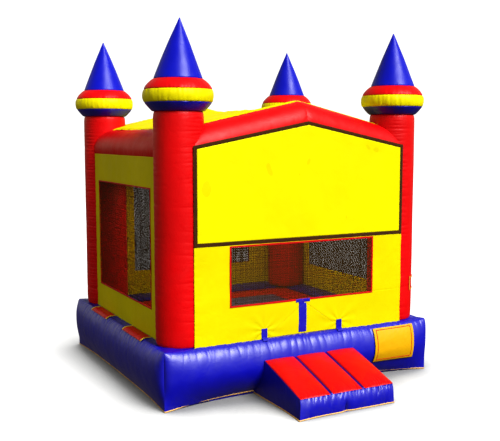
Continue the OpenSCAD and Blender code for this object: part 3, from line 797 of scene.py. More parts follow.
def framed_patches(half, z0, z1, window):
    """Panels round a rectangular window: sill, header and two jambs, with matching edges."""
    w, lo_z, hi_z = window
    side = np.linspace(-half, -w, 40)
    middle = np.linspace(-w, w, 150)
    whole = np.concatenate([side, middle[1:-1], -side[::-1]])
    jamb = np.linspace(lo_z, hi_z, 90)
    return [grid_of(whole, np.linspace(z0, lo_z, 34)), grid_of(whole, np.linspace(hi_z, z1, 34)),
            grid_of(side, jamb), grid_of(-side[::-1], jamb)]



def window_hole(node, axis):
    """Half width, sill and head of the hole round a net, a millimetre clear of it."""
    sill, head = span(node, "z")
    return span(node, axis)[1] + 0.001, sill - 0.001, head + 0.001


FRONT_WINDOW = window_hole("front_window_mesh", "x")
SIDE_WINDOW = window_hole("left_window_mesh", "y")
SLIT_HALF = 0.56  # half the width of the entrance at its foot
SLIT_TOP = low("slit_top_patch").z + 0.003
SLIT_SLOPE = (SLIT_TOP - WALL_LOW) / SLIT_HALF
STRAPS = {-1: -0.595, 1: 0.54}  # middles of the two entrance straps
STRAP_W = 0.084
STRAP_BEND = 0.62  # how far along a strap it leaves the wall


def front_relief(x, z):
    """Soft folds of the front wall: they radiate from the straps and run along the sewn edges."""
    d = 0.0045 * ripple(x, z, 0.8, 91, 3)
    low_part = smooth((1.35 - z) / 0.5)
    for s in (-1, 1):
        dx, dz = x - STRAPS[s], z - (WALL_LOW + 0.09)
        far = np.hypot(dx, dz) + 1e-6
        fan = np.sin(np.arctan2(dz, dx * s) * 9 + 1.3 * s + far * 2)
        d += 0.0045 * fan * np.exp(-far / 0.35) * smooth(far / 0.08) * low_part
    d += gathers(x + 2, np.maximum(z - WALL_LOW, 0), 4.0, FRONT_WALL_FOOT, 92)
    d += gathers(z, np.maximum(WALL_HALF - np.abs(x), 0), 4.0, WALL_SIDE, 93)
    return d - 0.001


def sag_relief(half, seed):
    """Soft folds of a side or back wall."""

    def relief(x, z):
        d = 0.0035 * ripple(x, z, 0.8, seed, 3)
        d += gathers(x + 2, np.maximum(z - WALL_LOW, 0), 4.0, WALL_FOOT, seed + 1)
        d += gathers(z, np.maximum(half - np.abs(x), 0), 4.0, WALL_SIDE, seed + 2)
        return d - 0.001

    return relief


def slit_edge(sign):
    """The slanted side of the slit as x of z."""

    def edge(z):
        f = np.clip((z - WALL_LOW) / (SLIT_TOP - WALL_LOW), 0, 1)
        return sign * SLIT_HALF * (1 - f)

    return edge


def front_wall():
    """The front wall round its window and the slanted sides of the entrance slit."""
    w, lo_z, hi_z = FRONT_WINDOW
    side = np.linspace(-WALL_HALF, -w, 60)
    middle = np.linspace(-w, w, 181)
    xs = np.concatenate([side, middle[1:-1], -side[::-1]])
    x, k = grid_of(xs, np.linspace(0, 1, 100))
    patches = [(x, hi_z + (gable_axis(x, APEX_X) - hi_z) * k)]
    for columns in (side, -side[::-1]):
        patches.append(grid_of(columns, np.linspace(lo_z, hi_z, 50)))
    tucked = np.linspace(WALL_LOW - FOOT_TUCK, WALL_LOW, 5)
    below = np.linspace(WALL_LOW, SLIT_TOP, 40)
    above = np.linspace(SLIT_TOP, lo_z, 6)
    f = 1 + xs[xs <= 1e-9] / WALL_HALF
    for s in (-1, 1):
        edge = slit_edge(s)
        for rows in (tucked, below, above):
            k, z = grid_of(f, rows)
            inner = 0 * z if rows is above else edge(z)
            patches.append((s * WALL_HALF + (inner - s * WALL_HALF) * k, z))
    obj = wall_object("front_wall_sheet", patches, FRONT_PLANE, front_relief, 0, ["front_wall"],
                      WALL_YELLOW)


def back_wall():
    """The back wall: framed_patches up to the eaves, and the gable above them."""
    w = SIDE_WINDOW[0]
    patches = framed_patches(WALL_HALF, WALL_LOW - FOOT_TUCK, WALL_EAVES, SIDE_WINDOW)
    side = np.linspace(-WALL_HALF, -w, 40)
    xs = np.concatenate([side, np.linspace(-w, w, 150)[1:-1], -side[::-1]])
    x, k = grid_of(xs, np.linspace(0, 1, 30))
    patches.append((x, WALL_EAVES + (gable_axis(x) - WALL_EAVES) * k))
    relief = sag_relief(WALL_HALF, 101)
    obj = wall_object("back_wall_sheet", patches, FRONT_PLANE, relief, 180, ["back_wall"],
                      WALL_YELLOW)


def side_wall(side, turn, seed):
    """The left or right wall, a little wider and higher than its CAD solid so that its edges hide."""
    patches = framed_patches(SIDE_WALL_HALF + 0.03, WALL_LOW - FOOT_TUCK, SIDE_WALL_TOP + 0.02, SIDE_WINDOW)
    relief = sag_relief(SIDE_WALL_HALF, seed)
    obj = wall_object(f"{side}_wall_sheet", patches, SIDE_PLANE, relief, turn, [f"{side}_wall"],
                      WALL_YELLOW)


# ---- Window nets ----

NET_PITCH = 0.0115
NET_CORD = 0.0033  # half the width of a cord
NET_DEPTH = 0.0008  # half its thickness


def net(side, window, plane, turn):
    """A window's net: flat upright cords behind level ones, spaced a little unevenly."""
    half, z0, z1 = window
    rng = np.random.default_rng(700 + turn)
    grids = []
    f = np.linspace(0, 1, 14)
    for upright in (True, False):
        count = int((2 * half if upright else z1 - z0) / NET_PITCH)
        for step in range(1, count):
            place = (step + rng.uniform(-0.16, 0.16)) / count
            if upright:
                a, b = np.full(14, -half + 2 * half * place), z0 + (z1 - z0) * f
                bend = 0.0010 * ripple(a * 3, b * 3, 0.9, 7, 2)
                centre, wide = points_of(a + bend, 0.0007, b), (NET_CORD, 0, 0)
            else:
                a, b = -half + 2 * half * f, np.full(14, z0 + (z1 - z0) * place)
                bend = 0.0010 * ripple(a * 3, b * 3, 0.9, 8, 2)
                centre, wide = points_of(a, -0.0007, b + bend), (0, 0, NET_CORD)
            wide, deep = np.array(wide), np.array((0, NET_DEPTH, 0))
            points = np.stack([centre - wide, centre - deep, centre + wide, centre + deep], 1)
            bow = np.cos(points[..., 0] / half * 1.5) * np.sin((points[..., 2] - z0) / (z1 - z0) * math.pi)
            points[..., 1] -= plane + 0.004 * bow
            grids.append((turned(points, turn), RING))
    return finished(joined(f"{side}_net", grids), NET, [f"{side}_window_mesh"])


# ---- Flat frames: window binding, banner tape, patch borders ----


def frame_grid(corners, width, thickness, plane, per_edge=60, seed=1, wobble=0.0015):
    """A flat frame round a closed outline, outside it by width, with rounded edges and mitred corners."""
    corners = np.asarray(corners, float)
    n = len(corners)
    mitres = []
    for i in range(n):
        a = corners[i] - corners[i - 1]
        b = corners[(i + 1) % n] - corners[i]
        a, b = a / np.linalg.norm(a), b / np.linalg.norm(b)
        na, nb = np.array([a[1], -a[0]]), np.array([b[1], -b[0]])
        m = na + nb
        mitres.append(m / (m @ na))
    section = [(0.0, 0.0), (0.04, 0.75), (0.16, 1.0), (0.5, 0.92), (0.84, 1.0), (0.96, 0.75), (1.0, 0.0)]
    rows = []
    for i in range(n):
        j = (i + 1) % n
        for f in np.linspace(0, 1, per_edge, endpoint=False):
            inner = corners[i] * (1 - f) + corners[j] * f
            out = mitres[i] * (1 - f) + mitres[j] * f
            rows.append([inner + w * width * out for w, _ in section])
    flat = np.asarray(rows)
    x, z = flat[..., 0], flat[..., 1]
    lift = np.array([h for _, h in section])[None, :] * thickness
    y = -plane - lift - wobble * (ripple(x, z, 0.12, seed, 2) + 1) * (lift > 0)
    points = points_of(x, y, z)
    back = points_of(x, np.full_like(x, -plane), z)[:, ::-1][:, 1:-1]
    return np.concatenate([points, back], 1)


def window_trims():
    """A red binding round each window."""
    grids = []
    for window, plane, turn in ((FRONT_WINDOW, FRONT_PLANE, 0), (SIDE_WINDOW, FRONT_PLANE, 180),
                                (SIDE_WINDOW, SIDE_PLANE, 90), (SIDE_WINDOW, SIDE_PLANE, -90)):
        half, z0, z1 = window[0] - 0.004, window[1] + 0.004, window[2] - 0.004
        corners = [(-half, z0), (half, z0), (half, z1), (-half, z1)]
        width = 0.024 if turn == 0 else 0.020
        frame_points = frame_grid(corners, width, 0.0035, plane + 0.0005, 90, 120 + turn)
        grids.append((turned(frame_points, turn), LOOP))
    finished(shell("window_bindings", grids), RED_TRIM, ["window_trims"])


BANNER_LOW = low("banner_panel").z
BANNER_HALF = high("banner_panel").x
BANNER_APEX = high("banner_panel").z
BANNER_SIDE = BANNER_APEX - 0.298  # where its upright sides end


def banner():
    """The plain yellow banner and the dark tape frame that holds it."""
    fall = (BANNER_APEX - BANNER_SIDE) / BANNER_HALF

    def top(x):
        return BANNER_APEX - fall * np.abs(x - APEX_X * (1 - np.abs(x) / BANNER_HALF))

    def relief(x, z):
        edge = np.minimum(BANNER_HALF - np.abs(x), np.minimum(z - BANNER_LOW, top(x) - z))
        d = 0.0030 * ripple(x, z, 1.1, 131, 3) * smooth(edge / 0.15)
        d += 0.0022 * ripple(x * 2.2, z * 0.5, 0.5, 132, 2) * smooth(edge / 0.1)
        return d + 0.001

    x, k = grid_of(np.linspace(-BANNER_HALF, BANNER_HALF, 221), np.linspace(0, 1, 130))
    patch = (x, BANNER_LOW + (top(x) - BANNER_LOW) * k)
    obj = wall_object("banner_sheet", [patch], FRONT_PLANE + 0.0035, relief, 0, ["banner_panel"],
                      BANNER_YELLOW, 0.0016)
    corners = [(-BANNER_HALF, BANNER_LOW), (BANNER_HALF, BANNER_LOW), (BANNER_HALF, BANNER_SIDE),
               (APEX_X, BANNER_APEX - 0.002), (-BANNER_HALF, BANNER_SIDE)]
    tape = shell("banner_tape", [(frame_grid(corners, 0.047, 0.004, FRONT_PLANE + 0.002, 110, 133), LOOP)])
    finished(tape, DARK_TAPE, ["banner_frame"])


# ---- Entrance ----


def box_strip(path, width_vector, thickness, seed=3, wobble=0.0):
    """A flat strap along path points, with rounded edges: returns a closed grid."""
    path = np.asarray(path, float)
    along = np.gradient(path, axis=0)
    along /= np.linalg.norm(along, axis=1, keepdims=True)
    side = np.broadcast_to(np.asarray(width_vector, float), path.shape)
    out = np.cross(side, along)
    out /= np.linalg.norm(out, axis=1, keepdims=True)
    section = [(-0.5, 0), (-0.47, 0.42), (-0.35, 0.5), (-0.12, 0.5), (0.12, 0.5), (0.35, 0.5),
               (0.47, 0.42), (0.5, 0), (0.47, -0.42), (0.35, -0.5), (-0.35, -0.5), (-0.47, -0.42)]
    grid = np.stack([path + side * w + out * (t * thickness) for w, t in section], 1)
    if wobble:
        s = np.linalg.norm(np.diff(path, axis=0), axis=1).cumsum()
        s = np.concatenate([[0], s])[:, None]
        around = np.arange(len(section))[None, :] * 0.01
        grid += out[:, None, :] * (wobble * ripple(s, around, 0.05, seed, 2))[..., None]
    return grid


def entrance_flaps():
    """Two triangular flaps that close the slit, each hung on the wall's slanted edge."""
    z = np.linspace(WALL_LOW - 0.014, SLIT_TOP - 0.008, 56)[None, :]
    f = np.linspace(0, 1, 70)[:, None]
    hinge = (SLIT_TOP - 0.0012 - z) / SLIT_SLOPE
    for side, s in (("left", -1), ("right", 1)):
        x = s * (0.002 + (np.maximum(hinge, 0.006) - 0.002) * f)
        from_hinge = np.abs(hinge - np.abs(x)) * 0.59
        d = 0.0012 * ripple(x, z, 0.25, 141 + s, 2) * smooth(from_hinge / 0.05)
        d += 0.0008 * np.sin(from_hinge * 60 + s) * np.exp(-from_hinge / 0.1) * smooth(from_hinge / 0.02)
        points = points_of(x, -FRONT_PLANE - front_relief(x, z) - d, z)
        obj = sheet(f"flap_{side}_sheet", [points], 0.002)
        finished(obj, WALL_YELLOW, [f"entrance_flap_{side}"], f"flap_{side}")


def slit_cover():
    """The blue strip over the slit, sewn to the left flap, and the blue patch over its upper end."""
    strip_low, strip_high = span("slit_cover_strip", "z")
    x0, x1 = span("slit_cover_strip", "x")
    a, b = grid_of(np.linspace(0, 1, 30), np.linspace(0, 1, 90))
    x = x0 + (x1 - x0) * a
    top = np.minimum(strip_high, SLIT_TOP + x * SLIT_SLOPE - 0.022)
    z = strip_low + (top - strip_low) * b
    y = -FRONT_PLANE - front_relief(x, z) - 0.0030 - 0.0012 * (ripple(x * 1.2, z, 0.12, 151, 3) + 0.6)
    obj = sheet("cover_strip_sheet", [points_of(x, y, z)], 0.0016)
    finished(obj, BLUE, ["slit_cover_strip"], "flap_left")
    patch_low, patch_high = span("slit_top_patch", "z")
    x, z = grid_of(np.linspace(*span("slit_top_patch", "x"), 60), np.linspace(patch_low, patch_high, 14))
    bar = points_of(x, -FRONT_PLANE - 0.0055 - 0.0012 * (ripple(x, z, 0.08, 152, 2) + 0.4), z)
    x, f = grid_of(np.linspace(x0, 0.0, 24), np.linspace(0, 1, 10))
    edge = SLIT_TOP + x0 * SLIT_SLOPE - 0.0212 + (x - x0) * SLIT_SLOPE
    z = edge + (np.maximum(patch_low + 0.004, edge + 0.002) - edge) * f
    corner = points_of(x, -FRONT_PLANE - front_relief(x, z) - 0.0038, z)
    obj = sheet("slit_patch_sheet", [bar, corner], 0.002)
    finished(obj, BLUE, ["slit_top_patch"])


def entrance_straps():
    """Two straps from the wall's foot down over the base's shoulder."""
    grids = []
    k = np.linspace(0, 1, 60)
    past = np.maximum(k - STRAP_BEND, 0) / (1 - STRAP_BEND)  # 0 up to the bend, then to 1 at its end
    z_top, z_bend = WALL_LOW + 0.112, BASE_H + 0.012
    upright = z_top - (z_top - BASE_H - 0.012) * k / STRAP_BEND
    z = np.where(k < STRAP_BEND, upright, z_bend - 0.030 * past**1.6)
    y = -FRONT_PLANE - 0.0065 - 0.055 * past
    for s, middle in STRAPS.items():
        strap = box_strip(points_of(middle, y, z), (STRAP_W, 0, 0), 0.004, 153 + s, 0.001)
        grids.append((strap, RING))
    finished(shell("entrance_strap_pair", grids), BLUE, ["entrance_straps"])


# ---- Patches, piping, loops ----


def draped_path(k0, k1, tuck, lift, from_corner, foot_in, side_k=None):
    """Rows (out, height) along a tube's outside, lift above it: from the wall's foot, over the
    shoulder from k1 down to k0, and down its side to side_k."""
    rows = []
    if tuck:
        rows += [(-SHOULDER - tuck * (1 - f) + 0 * from_corner, BASE_H + lift + 0 * from_corner)
                 for f in np.linspace(0, 1, 6, endpoint=False)]
    for k in np.linspace(k1, k0, 34):
        out, z = tube_shoulder(k, from_corner)
        a = math.pi / 2 * k
        rows.append((out + lift * math.cos(a), z + lift * math.sin(a)))
    if side_k is not None:
        for k in np.linspace(1, side_k, 24)[1:]:
            out, z = tube_side(k, from_corner, foot_in)
            rows.append((out + lift, z))
    return np.stack([r[0] for r in rows], 1), np.stack([r[1] for r in rows], 1)


def draped_sheet(centre, half_w, half_len, half, turn, seed, depth, path, foot_in, columns=60):
    """A sheet lying on a base tube's outside, for the side facing -Y, turned about Z."""
    x = np.linspace(centre - half_w, centre + half_w, columns)
    out, z = draped_path(*path[:4], half_len - np.abs(x), foot_in, *path[4:])
    xx = x[:, None] + 0 * out
    wave = depth * ripple(xx, z + out, 0.14, seed, 3)
    return turned(points_of(xx, -half - out - wave, z + 0.4 * wave), turn)


def wall_patches():
    """Red reinforcing patches over each side's shoulder, edged with yellow webbing."""
    reds, edges = [], []
    for turn in (-90, 90):
        for s in (-1, 1):
            reds.append(draped_sheet(s * 0.70, 0.335, HALF_D, HALF_W, turn, 161 + s + turn, 0.002,
                                     (0.70, 1.0, 0.075, 0.005), FOOT_IN["side"]))
            for e in (-1, 1):
                centre = s * 0.70 + e * 0.351
                out, z = draped_path(0.70, 1.0, 0.075, 0.007, np.array([HALF_D - abs(centre)]), FOOT_IN["side"])
                line = np.stack([np.full(out.shape[1], centre), -HALF_W - out[0], z[0]], 1)
                edges.append((turned(box_strip(line, (0.036, 0, 0), 0.003, 170 + e), turn), RING))
    red = sheet("anchor_patch_sheets", reds, 0.002)
    finished(red, RED, ["wall_anchor_patches"])
    web = shell("anchor_patch_webbing", edges)
    finished(web, YELLOW_WEBBING)


def rules_patch():
    """A plain sewn patch with a red border line and no words."""
    x0, x1 = low("rules_patch").x, high("rules_patch").x
    grid = draped_sheet((x0 + x1) / 2, (x1 - x0) / 2, HALF_W, HALF_D, 0, 181, 0.0015,
                        (0.0, 0.62, 0, 0.013, 0.50), FOOT_IN["front"])
    obj = sheet("rules_patch_sheet", [grid], 0.0022)
    finished(obj, GOLD_VINYL, ["rules_patch"])
    rails = []
    inset = 4
    lines = [(grid[inset, inset:-inset], (0.010, 0, 0)), (grid[-inset - 1, inset:-inset], (0.010, 0, 0)),
             (grid[inset:-inset, inset], (0, -0.004, -0.009)), (grid[inset:-inset, -inset - 1], (0, -0.002, -0.010))]
    for line, vector in lines:
        rails.append((box_strip(line + np.array([0, -0.0025, 0.0006]), vector, 0.0015), RING))
    border = shell("rules_patch_border", rails)
    finished(border, RED_TRIM)


def cord(path, radius, around=8):
    """A closed loop of round cord along a closed path of points."""
    along = np.roll(path, -1, 0) - np.roll(path, 1, 0)
    along /= np.linalg.norm(along, axis=1, keepdims=True)
    side = np.cross(along, (0, 0, 1))
    side /= np.linalg.norm(side, axis=1, keepdims=True)
    up = np.cross(side, along)
    t = np.linspace(0, 2 * math.pi, around, endpoint=False)
    return np.stack([path + radius * (side * math.cos(a) + up * math.sin(a)) for a in t], 1)


def ground_piping():
    """Corded webbing along the foot seams of the base and the ramp."""
    radius = 0.0075
    step = 0.022
    points = []

    def base_side(half_len, half, turn, foot_in, start, end, outset=0.006):
        x = np.arange(start, end, step)
        out, z = foot_seam(half_len - np.abs(x), foot_in)
        rows = np.stack([x, -half - out - outset, z + outset / 2], 1)
        points.append(turned(rows, turn))

    base_side(HALF_W, HALF_D, 0, FOOT_IN["front"], -HALF_W, -RAMP_HALF - 0.02)
    points.append(ramp_foot(step))
    base_side(HALF_W, HALF_D, 0, FOOT_IN["front"], RAMP_HALF + 0.02, HALF_W)
    base_side(HALF_D, HALF_W, 90, FOOT_IN["side"], -HALF_D, HALF_D, -0.003)
    base_side(HALF_W, HALF_D, 180, FOOT_IN["front"], -HALF_W, HALF_W)
    base_side(HALF_D, HALF_W, -90, FOOT_IN["side"], -HALF_D, HALF_D, -0.003)
    path = np.concatenate(points)
    path[:, 2] = np.maximum(path[:, 2], radius - 0.001) + 0.0012 * np.sin(path[:, 0] * 13 + path[:, 1] * 9)
    obj = shell("ground_piping", [(cord(path, radius), LOOP)])
    return finished(obj, WEBBING, ["bottom_piping"])


def tether_loops():
    """Webbing loops on the right-hand columns: bands sewn round the column hold a standing strap."""
    grids = []
    z0, z1 = low("tether_loops").z, high("tether_loops").z
    for s in (-1, 1):
        x = COLUMN_X + COLUMN_R
        k = np.linspace(0, 1, 70)
        z = z0 + 0.012 + (z1 - z0 - 0.024) * k
        out = 0.003 + 0.016 * smooth((k - 0.14) / 0.13) * smooth((0.86 - k) / 0.13)
        path = np.stack([x + out, np.full(70, s * COLUMN_Y), z], 1)
        grids.append((box_strip(path, (0, 0.055, 0), 0.003, 190 + s), RING))
        r = COLUMN_R + 0.0045
        for zc in (z0 + 0.018, z1 - 0.018):
            t = s * np.linspace(-0.26, 1.16, 60)
            band = np.stack([COLUMN_X + r * np.cos(t), s * COLUMN_Y + r * np.sin(t), np.full(60, zc)], 1)
            grids.append((box_strip(band, (0, 0, 0.026), 0.003, 192 + s), RING))
        t = s * 1.12
        upright = np.stack([np.full(40, COLUMN_X + (r + 0.002) * math.cos(t)),
                            np.full(40, s * COLUMN_Y + (r + 0.002) * math.sin(t)), np.linspace(z0 + 0.004, z1 - 0.004, 40)], 1)
        across = (-0.026 * math.sin(t), 0.026 * math.cos(t), 0)
        grids.append((box_strip(upright, across, 0.003, 195 + s), RING))
    obj = shell("tether_webbing", grids)
    return finished(obj, ORANGE_WEBBING, ["tether_loops"])


# ---- Bounce floor ----


def floor_relief(x, y):
    """Long pillows of the bounce floor between its stitched baffle lines."""
    pitch = 0.50
    cell = (y / pitch) % 1.0
    pillow = np.sin(math.pi * cell) ** 0.6
    return 0.030 * pillow - 0.030 + gathers(x + 2, np.minimum(cell, 1 - cell) * pitch, 4.0, FLOOR_STITCH, 201)


def bounce_floor():
    half_x, half_y = high("bounce_floor").x, high("bounce_floor").y
    inner_x, inner_y = half_x - 0.50, half_y - 0.46
    x, y = grid_of(np.linspace(-inner_x, inner_x, 150), np.linspace(-inner_y, inner_y, 170))
    top = points_of(x, y, FLOOR_Z + floor_relief(x, y))
    bed = sheet("floor_bed", [top], 0.003)
    finished(bed, FLOOR_VINYL, ["bounce_floor"])
    grids = []
    for turn, hx, hy, ix, iy in ((0, half_x, half_y, inner_x, inner_y), (180, half_x, half_y, inner_x, inner_y),
                                 (90, half_y, half_x, inner_y, inner_x), (-90, half_y, half_x, inner_y, inner_x)):
        f = np.linspace(0, 1, 24)[None, :]
        u = np.linspace(-1, 1, 160)[:, None]
        yy = -(iy + (hy - iy) * f) + 0 * u
        xx = u * (ix + (hx - ix) * f)
        zz = FLOOR_Z + 0.012 * np.sin(math.pi * f) ** 0.7 + 0 * u - 0.012
        zz += gathers(xx + 2, (hy + yy), 4.0, FLOOR_BORDER, 211 + turn)
        grids.append(turned(points_of(xx, yy, zz), turn))
    border = sheet("floor_border", grids, 0.003)
    return finished(border, RED)


# ---- Ramp ----

RAMP_HALF = high("ramp_body").x + 0.018
RAMP_FRONT = -low("ramp_body").y
RAMP_BACK = -high("ramp_body").y
RAMP_TOP = high("ramp_body").z + 0.03
RAMP_LIP = low("ramp_treads").z + 0.012
RAMP_ROLL = 0.024  # how far the front panel rolls back at its top
RAMP_GAP = 0.036  # width of the seams between the pillows
RAMP_PILLOW = (2 * RAMP_HALF - 2 * RAMP_GAP) / 3
RAMP_GAP_X = (RAMP_PILLOW + RAMP_GAP) / 2
RAMP_UNDER = HALF_D - FOOT_IN["front"] - 0.06  # how far it runs in under the base's bulge


def ramp_height(y):
    """Height of the ramp's slope at distance y in front of the origin."""
    rise = (RAMP_FRONT - y) / (RAMP_FRONT - RAMP_BACK)
    return RAMP_LIP + (RAMP_TOP - RAMP_LIP) * np.clip(rise, 0.0, 1.0)


def ramp_flare(x, y, f):
    """How far the foot's corners spread: f is 0 on the ground and 1 at the slope."""
    corner = np.exp(-(RAMP_HALF - np.abs(x)) / 0.12) * np.exp(-(RAMP_FRONT - y) / 0.15)
    return np.where(x < 0, 0.034, 0.006) * corner * (1 - f) ** 1.5


def ramp_foot(step):
    """The ramp's foot seam, from the base's left side of it round to the right."""
    y = np.arange(RAMP_UNDER + 0.02, RAMP_FRONT, step)
    x = np.arange(-RAMP_HALF, RAMP_HALF, step)
    left = np.stack([np.full(len(y), -RAMP_HALF), y], 1)
    front = np.stack([x, np.full(len(x), RAMP_FRONT)], 1)
    right = np.stack([np.full(len(y), RAMP_HALF), y[::-1]], 1)
    line = np.concatenate([left, front, right])
    flare = ramp_flare(line[:, 0], line[:, 1], 0)
    tuck = 0.022 * np.exp(-(((line[:, 0] + 0.02) / 0.05) ** 2)) * (line[:, 1] > RAMP_FRONT - 0.01)
    beside = 0.008 * (np.abs(line[:, 0]) > RAMP_HALF - 0.001)
    return np.stack([line[:, 0] + np.sign(line[:, 0]) * (flare + beside),
                     -line[:, 1] - flare + tuck - 0.004, 0.008 + 0 * flare], 1)


def ramp_body():
    """An inflated wedge with crisp sewn edges: each panel swells a little between its seams."""
    grids = []
    ys = RAMP_FRONT - RAMP_ROLL + (RAMP_UNDER - RAMP_FRONT + RAMP_ROLL) * np.linspace(0, 1, 150)
    x, f = grid_of(np.linspace(-RAMP_HALF, RAMP_HALF, 340), np.linspace(0, 1, 44))
    z = RAMP_LIP * f + (ramp_height(RAMP_FRONT - RAMP_ROLL) - RAMP_LIP) * f**5
    inner = smooth((RAMP_HALF - np.abs(x)) / 0.03) * smooth(f / 0.04) * smooth((1 - f) / 0.07)
    puff = 0.016 * np.sin(math.pi * f) ** 0.6 * smooth((RAMP_HALF - np.abs(x)) / 0.14)
    creases = gathers(x + 1, RAMP_LIP - z, 2.0, RAMP_LIP_SEAM, 221)
    creases += gathers(x + 1, z, 2.0, RAMP_FOOT_SEAM, 222)
    middle = -0.030 * np.exp(-np.abs(x + 0.02 + 0.12 * z) / 0.018) * smooth((0.17 - z) / 0.12)
    flare = ramp_flare(x, RAMP_FRONT, f)
    tuck = 0.022 * np.exp(-(((x + 0.02) / 0.05) ** 2)) * (1 - f) ** 2
    y = -RAMP_FRONT + RAMP_ROLL * f**5 + tuck - flare - puff - (creases + middle) * inner
    grids.append((points_of(x + np.sign(x) * flare, y, z), OPEN))
    x, y = grid_of(np.linspace(-RAMP_HALF, RAMP_HALF, 340), ys)
    between = np.abs(np.abs(x) - RAMP_GAP_X)
    ends = smooth((RAMP_FRONT - RAMP_ROLL - y) / 0.04) * smooth((y - RAMP_UNDER) / 0.04)
    valley = 0.035 * np.exp(-((between / 0.014) ** 2)) * ends
    grids.append((points_of(x, -y, ramp_height(y) - valley), OPEN))
    y = RAMP_FRONT + (RAMP_UNDER - RAMP_FRONT) * (RAMP_FRONT - RAMP_ROLL - y) / (RAMP_FRONT - RAMP_ROLL - RAMP_UNDER)
    flare = ramp_flare(x, y, 0)
    grids.append((points_of(x + np.sign(x) * flare, -y - flare, 0 * y), OPEN))
    for s in (-1, 1):
        y, f = grid_of(ys, np.linspace(0, 1, 44))
        y = y + RAMP_ROLL * (1 - f**5) * (y - RAMP_UNDER) / (RAMP_FRONT - RAMP_ROLL - RAMP_UNDER)
        z = ramp_height(y) * f
        inner = smooth((RAMP_FRONT - y) / 0.1)
        swell = 0.016 * np.sin(math.pi * f) ** 0.7 * inner
        swell += gathers(y, ramp_height(y) - z, 3.0, RAMP_SIDE_SEAM, 223 + s) * inner
        flare = ramp_flare(RAMP_HALF, y, f)
        grids.append((points_of(s * (RAMP_HALF + swell + flare), -y - flare, z), OPEN))
    x, f = grid_of(np.linspace(-RAMP_HALF, RAMP_HALF, 130), np.linspace(0, 1, 44))
    grids.append((points_of(x, -RAMP_UNDER + 0 * x, RAMP_TOP * f), OPEN))
    obj = shell("ramp_skin", grids, merge=0.0015)
    return finished(obj, BLUE, ["ramp_body"])


def ramp_treads():
    """Three crowned pillows on the slope, parted by two narrow blue seams."""
    gap, width = RAMP_GAP, RAMP_PILLOW
    length = RAMP_FRONT - RAMP_BACK
    grids = []
    for i in (-1, 0, 1):
        a = np.linspace(0, 1, 120)[:, None]
        b = np.linspace(0, 1, 150)[None, :]
        x = i * (width + gap) + (a - 0.5) * (width - 0.002) + 0 * b
        y = RAMP_FRONT - RAMP_ROLL + 0.011 - (length - RAMP_ROLL + 0.007) * b + 0 * a
        base = ramp_height(y)
        edge = np.minimum(a, 1 - a) * width
        crown = 0.050 * np.sin(math.pi * a) ** 0.42 * np.sin(math.pi * b) ** 0.36
        creases = gathers(x + 1, RAMP_FRONT - y, 2.0, PILLOW_FRONT, 231 + i)
        creases += gathers(x + 1, y - RAMP_BACK, 2.0, PILLOW_BACK, 233 + i)
        creases += gathers(RAMP_FRONT - y, edge, 1.2, PILLOW_SIDE, 236 + i)
        inner = smooth(np.minimum(edge, np.minimum(b, 1 - b) * length) / 0.02)
        z = base + crown + (creases + 0.0015 * ripple(x, y, 0.3, 239 + i, 2)) * inner
        grids.append((points_of(x, -y, z), OPEN))
        grids.append((points_of(x, -y, base - 0.001 + 0 * x), OPEN))
    obj = shell("ramp_pillows", grids, merge=0.0012)
    finished(obj, RED, ["ramp_treads"])
    return obj


# ---- Back of the house: air sleeve, anchors, zip ----


def air_sleeve():
    """A loose cloth tube, cinched by its strap, with a doubled hem at its mouth."""
    x_c = (low("inlet_strap").x + high("inlet_strap").x) / 2
    y0, y1 = HALF_D + 0.065, high("air_inlet_sleeve").y
    r_out = (high("inlet_strap").x - low("inlet_strap").x) / 2 - 0.0035
    z_c = low("inlet_strap").z + r_out + 0.0035
    strap_y = (low("inlet_strap").y + high("inlet_strap").y) / 2
    y = np.linspace(y0, y1, 150)[:, None]
    a = np.linspace(0, 2 * math.pi, 110, endpoint=False)[None, :]
    arc = a * r_out + 0 * y
    d = gathers(arc, np.abs(y - strap_y) + 0 * a, 0.9, SLEEVE_CINCH, 241) - 0.0045 * bell(y - strap_y, 0.03)
    d += 0.003 * ripple(y * 1.3, arc, 0.22, 242, 3) * smooth((y - y0) / 0.1) + 0.006 * np.exp(-(y - y0) / 0.03)
    hem = smooth((y - (y1 - 0.035)) / 0.003)
    outer = r_out - 0.002 + d + 0.0015 * hem
    inner = outer - 0.0035

    def tube(r):
        return points_of(x_c + r * np.cos(a), y + 0 * a, z_c + r * np.sin(a))

    grid = np.concatenate([tube(outer), tube(inner)[::-1]], 0)
    obj = shell("sleeve_skin", [(grid, LOOP)])
    finished(obj, BLUE, ["air_inlet_sleeve"])
    t = np.linspace(0, 2 * math.pi, 90)
    r = r_out + 0.0015
    loop = np.stack([x_c + r * np.cos(t), np.full(90, strap_y), z_c + r * np.sin(t)], 1)
    band = box_strip(loop, (0, 0.036, 0), 0.0025, 243)
    tail_k = np.linspace(0, 1, 24)
    tail = np.stack([x_c + 0.03 + 0.10 * tail_k, np.full(24, strap_y),
                     z_c + np.sqrt(np.maximum((r + 0.004) ** 2 - (0.03 + 0.10 * tail_k) ** 2, 0)) + 0.001], 1)
    buckle = []
    for bx, w in ((-0.024, 0.007), (0.0, 0.006), (0.024, 0.007)):
        bar = np.stack([np.full(12, x_c + bx), np.linspace(strap_y - 0.023, strap_y + 0.023, 12), np.full(12, z_c + r + 0.006)], 1)
        buckle.append((box_strip(bar, (w, 0, 0), 0.006), RING))
    for by in (-0.021, 0.021):
        rail = np.stack([np.linspace(x_c - 0.026, x_c + 0.026, 12), np.full(12, strap_y + by), np.full(12, z_c + r + 0.006)], 1)
        buckle.append((box_strip(rail, (0, 0.006, 0), 0.006), RING))
    strap = shell("sleeve_strap", [(band[:-1], LOOP), (box_strip(tail, (0, 0.034, 0), 0.0022), RING), *buckle])
    finished(strap, BLACK_WEBBING, ["inlet_strap"])


